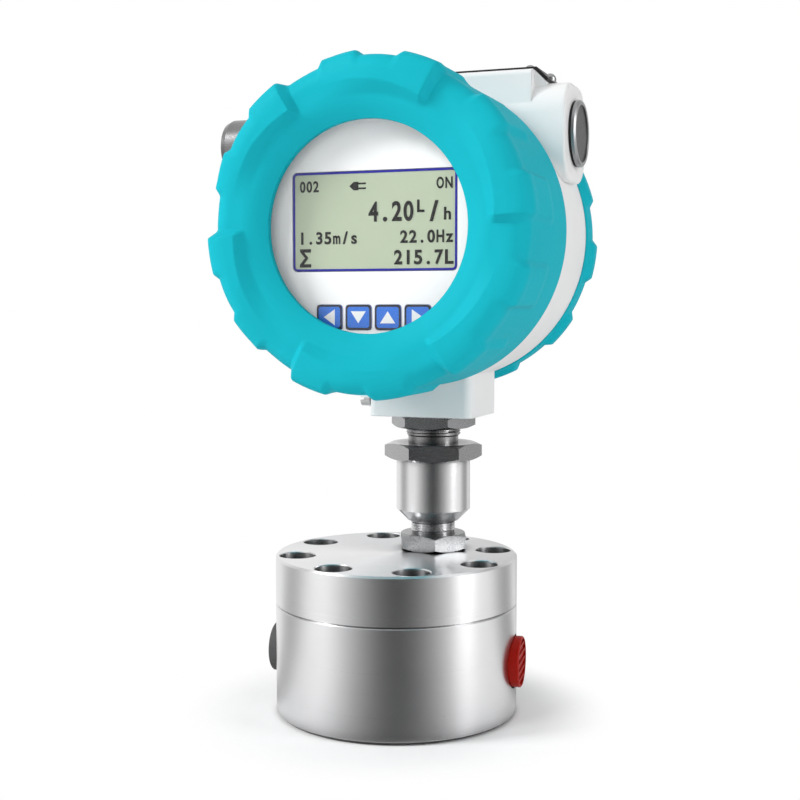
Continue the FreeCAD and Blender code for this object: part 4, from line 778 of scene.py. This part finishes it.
# Corner lugs round the rim, full in their middle and flanked by short slopes
def lug_share(angle, radius, height, heel, toe):
    pitch = 360 / LUG_COUNT
    turn = (angle - SWELL_START - LUG_CENTRE + pitch / 2) % pitch - pitch / 2
    return (1 - ramp(abs(turn), LUG_FLANK)) * smooth(height, heel) * smooth(radius, toe)


# How far a point of a cover swells outward and forward
def front_swell(angle, radius, height):
    lift = pad_lift(angle, radius, height)
    lug = lug_share(angle, radius, height, LUG_HEEL, LUG_TOE)
    return LUG_LIFT * lug + PAD_LEAN * lift, max(lift, LUG_RISE * lug)


def rear_swell(angle, radius, height):
    return LUG_LIFT * lug_share(angle, radius, height, REAR_LUG_HEEL, REAR_LUG_TOE), 0.0


# Points of a cover, column by column: down its outside with the swells, then along its inside
def cover_points(outside, inside, swell, side):
    points = []
    for column in range(COVER_COLUMNS):
        angle = 360 * column / COVER_COLUMNS
        across = side * math.cos(math.radians(angle))
        up = math.sin(math.radians(angle))
        for radius, height in outside:
            outward, forward = swell(angle, radius, height)
            points.append(((radius + outward) * across, (radius + outward) * up, side * (height + forward)))
        points += [(radius * across, radius * up, side * height) for radius, height in inside]
    return points


# Faces between the columns; a closed cover has a flat crown and ceiling in place of the window's rim
def cover_faces(count, last, closed):
    faces = []
    for column in range(COVER_COLUMNS):
        first = column * count
        following = (column + 1) % COVER_COLUMNS * count
        for row in range(count):
            beside = (row + 1) % count
            if not (closed and row == last):
                faces.append((first + row, following + row, following + beside, first + beside))
    if closed:
        crown = [column * count + last for column in range(COVER_COLUMNS)]
        ceiling = [column * count + last + 1 for column in reversed(range(COVER_COLUMNS))]
        faces += [tuple(crown), tuple(ceiling)]
    return faces


# A turned shell with swells, facing forward for side 1 and backward for side -1
def add_cover(node, outside, inside, swell, side, closed):
    points = cover_points(outside, inside, swell, side)
    faces = cover_faces(len(outside) + len(inside), len(outside) - 1, closed)
    cover = add_mesh(node + "_casting", points, faces, teal_paint, node)
    cover.data.shade_smooth()
    cover.data.set_sharp_from_angle(angle=math.radians(SHARP_ANGLE))
    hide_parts(node)


def add_covers():
    add_cover("front_cover", front_profile(), FRONT_INSIDE, front_swell, side=1, closed=False)
    add_cover("rear_cover", rear_profile(), REAR_INSIDE, rear_swell, side=-1, closed=True)


# Display markings

def lcd_outline():
    inset = 2 * LCD_OUTLINE_WIDTH
    inner_corner = LCD_CORNER - LCD_OUTLINE_WIDTH
    outer = rounded_outline(LCD_WIDTH, LCD_HEIGHT, LCD_CORNER, 0, LCD_RAISE)
    inner = rounded_outline(LCD_WIDTH - inset, LCD_HEIGHT - inset, inner_corner, 0, LCD_RAISE)
    add_band("lcd_outline", outer, inner, LCD_FRONT, LCD_FRONT + LCD_OUTLINE_LIFT, lcd_blue, "head")


# Each character stands in a cell of its own, as on a dot display, and is narrowed to fit it
def lcd_text(name, text, left, bottom, height, pitch):
    for index, character in enumerate(text):
        curve = bpy.data.curves.new(name, "FONT")
        curve.body = character
        curve.size = height / CAPITAL_SHARE * MM
        curve.bevel_depth = LCD_MARK_BOLD * height * MM
        curve.bevel_resolution = 0
        curve.extrude = LCD_MARK_THICKNESS / 2 * MM
        curve.align_x = "CENTER"
        curve.materials.append(lcd_ink)
        piece = new_object(f"{name}_{index}", curve)
        bpy.context.view_layer.update()
        narrowing = min(1, LCD_CELL_FILL * pitch * MM / piece.dimensions.x)
        middle = left + pitch * (index + 0.5)
        place = Vector((middle, LCD_RAISE + bottom, LCD_FRONT + LCD_MARK_LIFT)) * MM
        piece.matrix_world = ON_HEAD @ Matrix.Translation(place) @ Matrix.Scale(narrowing, 4, (1, 0, 0))
        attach(piece, "head")


def lcd_readings():
    for name, reading in LCD_READINGS.items():
        lcd_text(name, *reading)


def lcd_supply_sign():
    body = ((SUPPLY_SHOULDER, SUPPLY_LOW), (SUPPLY_FRONT, SUPPLY_LOW), (SUPPLY_FRONT, SUPPLY_HIGH),
            (SUPPLY_SHOULDER, SUPPLY_HIGH), SUPPLY_POINT)
    outlines = {"lcd_supply_body": body}
    for name, low in SUPPLY_PRONGS.items():
        high = low + PRONG_WIDTH
        outlines[name] = ((SUPPLY_FRONT, low), (PRONG_END, low), (PRONG_END, high), (SUPPLY_FRONT, high))
    for name, outline in outlines.items():
        raised = [(x, LCD_RAISE + y) for x, y in outline]
        add_tile(name, raised, LCD_FRONT, LCD_FRONT + LCD_MARK_LIFT, lcd_ink, "head")


# A dark border round each key, and a white arrow on it
def key_markings():
    inset = 2 * KEY_BORDER
    inner_corner = KEY_CORNER - KEY_BORDER / 2
    half = KEY_ARROW / 2
    rise = KEY_ARROW_DEPTH / 2
    top = KEY_FRONT + KEY_MARK_LIFT
    middle_y = KEY_TOP - KEY_HEIGHT / 2
    for index, (key, turn) in enumerate(KEY_TURNS.items()):
        middle_x = (index - (len(KEY_TURNS) - 1) / 2) * KEY_PITCH
        outer = rounded_outline(KEY_WIDTH, KEY_HEIGHT, KEY_CORNER, middle_x, middle_y)
        inner = rounded_outline(KEY_WIDTH - inset, KEY_HEIGHT - inset, inner_corner, middle_x, middle_y)
        add_band(key + "_border", outer, inner, KEY_FRONT, top, key_black, key)
        spin = Matrix.Rotation(math.radians(turn), 2)
        corners = [spin @ Vector(corner) for corner in ((-half, -rise), (half, -rise), (0, rise))]
        arrow = [(middle_x + corner.x, middle_y + corner.y) for corner in corners]
        add_tile(key + "_arrow", arrow, KEY_FRONT, top, key_white, key)


# Studio: white surroundings, pale floor, dark flags, soft lamps

def seen_rays(tree):
    path = tree.nodes.new("ShaderNodeLightPath")
    seen = math_node(tree, "MAXIMUM", path.outputs["Is Camera Ray"], path.outputs["Is Glossy Ray"])
    return math_node(tree, "MAXIMUM", seen, path.outputs["Is Transmission Ray"])


# Floor that keeps the shadow beside the object and shows plain white further out
def floor_material():
    material, tree, shader = new_material("floor_white")
    coordinates = object_coordinates(tree)
    speckle = noise(tree, coordinates, scale=30)
    tree.links.new(two_colours(tree, speckle, FLOOR_DARK, FLOOR_LIGHT), shader.inputs["Base Color"])
    shader.inputs["Roughness"].default_value = 0.9
    parts = split(tree, coordinates)
    radius = axis_distance(tree, parts["X"], parts["Y"])
    away = step_between(tree, radius, SHADOW_FADE[0] * MM, SHADOW_FADE[1] * MM)
    white = tree.nodes.new("ShaderNodeEmission")
    mixed_surface(tree, math_node(tree, "MULTIPLY", away, seen_rays(tree)), shader, white)
    return material


def add_floor():
    mesh = bpy.data.meshes.new("floor")
    signs = ((-1, -1), (1, -1), (1, 1), (-1, 1))
    corners = [(x * FLOOR_REACH, y * FLOOR_REACH, 0) for x, y in signs]
    mesh.from_pydata(corners, [], [(0, 1, 2, 3)])
    mesh.materials.append(floor_material())
    floor = new_object("floor", mesh)
    floor.location.z = -FLOOR_DROP


def add_world():
    world = bpy.data.worlds.new("studio")
    bpy.context.scene.world = world
    world.use_nodes = True
    tree = world.node_tree
    background = tree.nodes["Background"]
    strength = tree.nodes.new("ShaderNodeMapRange")
    strength.inputs["To Min"].default_value = WORLD_LIGHT
    strength.inputs["To Max"].default_value = WORLD_SEEN
    tree.links.new(seen_rays(tree), strength.inputs["Value"])
    tree.links.new(strength.outputs["Result"], background.inputs["Strength"])
    background.inputs["Color"].default_value = (1, 1, 1, 1)


# Black cloth, as thick as the mesh's own depth values say
def flag_material():
    material, tree, shader = new_material("flag_black")
    weave = noise(tree, object_coordinates(tree), scale=300)
    tree.links.new(two_colours(tree, weave, FLAG_DARK, FLAG_LIGHT), shader.inputs["Base Color"])
    shader.inputs["Roughness"].default_value = 0.9
    depth = tree.nodes.new("ShaderNodeAttribute")
    depth.attribute_name = "depth"
    clear = tree.nodes.new("ShaderNodeBsdfTransparent")
    mixed_surface(tree, depth.outputs["Fac"], clear, shader)
    return material


# A flag lies on the floor up to the block and stands up further out, and thins out to its sides
def add_flag(name, turn, half_width, depth, material):
    profile = ((FLAG_INNER, FLAG_FOOT), (FLAG_OUTER, FLAG_FOOT), (FLAG_OUTER, FLAG_TOP))
    points = []
    depths = []
    for column in range(FLAG_COLUMNS + 1):
        share = 2 * column / FLAG_COLUMNS - 1
        angle = CAMERA_AZIMUTH + math.radians(turn + half_width * share)
        points += [Vector((radius * math.sin(angle), -radius * math.cos(angle), height)) * MM
                   for radius, height in profile]
        depths += [depth * (1 - share ** 2) ** FLAG_FALLOFF] * len(profile)
    faces = []
    for column in range(FLAG_COLUMNS):
        for row in range(len(profile) - 1):
            first = column * len(profile) + row
            following = first + len(profile)
            faces.append((first, following, following + 1, first + 1))
    mesh = bpy.data.meshes.new(name)
    mesh.from_pydata(points, [], faces)
    mesh.attributes.new("depth", "FLOAT", "POINT").data.foreach_set("value", depths)
    mesh.materials.append(material)
    flag = new_object(name, mesh)
    flag.visible_camera = False
    flag.visible_diffuse = False
    flag.visible_shadow = False
    flag.visible_transmission = False


def add_flags():
    material = flag_material()
    for name, (turn, half_width, depth) in FLAGS.items():
        add_flag(name, turn, half_width, depth, material)


def aim(thing, place, target):
    thing.location = place
    thing.rotation_euler = (target - place).to_track_quat("-Z", "Y").to_euler()


def add_lamp(name, place, size, power, mirrored):
    light = bpy.data.lights.new(name, "AREA")
    light.shape = "RECTANGLE"
    light.size, light.size_y = size
    light.energy = power
    lamp = new_object(name, light)
    lamp.visible_glossy = mirrored
    aim(lamp, Vector(place), LAMP_TARGET)


def add_lamps():
    for name, lamp in LAMPS.items():
        add_lamp(name, *lamp)


def add_camera():
    right = Vector((math.cos(CAMERA_AZIMUTH), math.sin(CAMERA_AZIMUTH), 0))
    back = Vector((math.sin(CAMERA_AZIMUTH) * math.cos(CAMERA_PITCH),
                   -math.cos(CAMERA_AZIMUTH) * math.cos(CAMERA_PITCH), math.sin(CAMERA_PITCH)))
    target = (Vector((0, 0, CAMERA_TARGET_HEIGHT)) + right * CAMERA_TARGET_ASIDE) * MM
    lens = bpy.data.cameras.new("camera")
    lens.lens = CAMERA_LENS
    lens.sensor_width = CAMERA_SENSOR
    camera = new_object("camera", lens)
    aim(camera, target + back * CAMERA_DISTANCE * MM, target)
    bpy.context.scene.camera = camera


finish_frame()
add_threads()
add_covers()
lcd_outline()
lcd_readings()
lcd_supply_sign()
key_markings()
add_floor()
add_world()
add_flags()
add_lamps()
add_camera()
bpy.context.scene.view_settings.view_transform = "Standard"
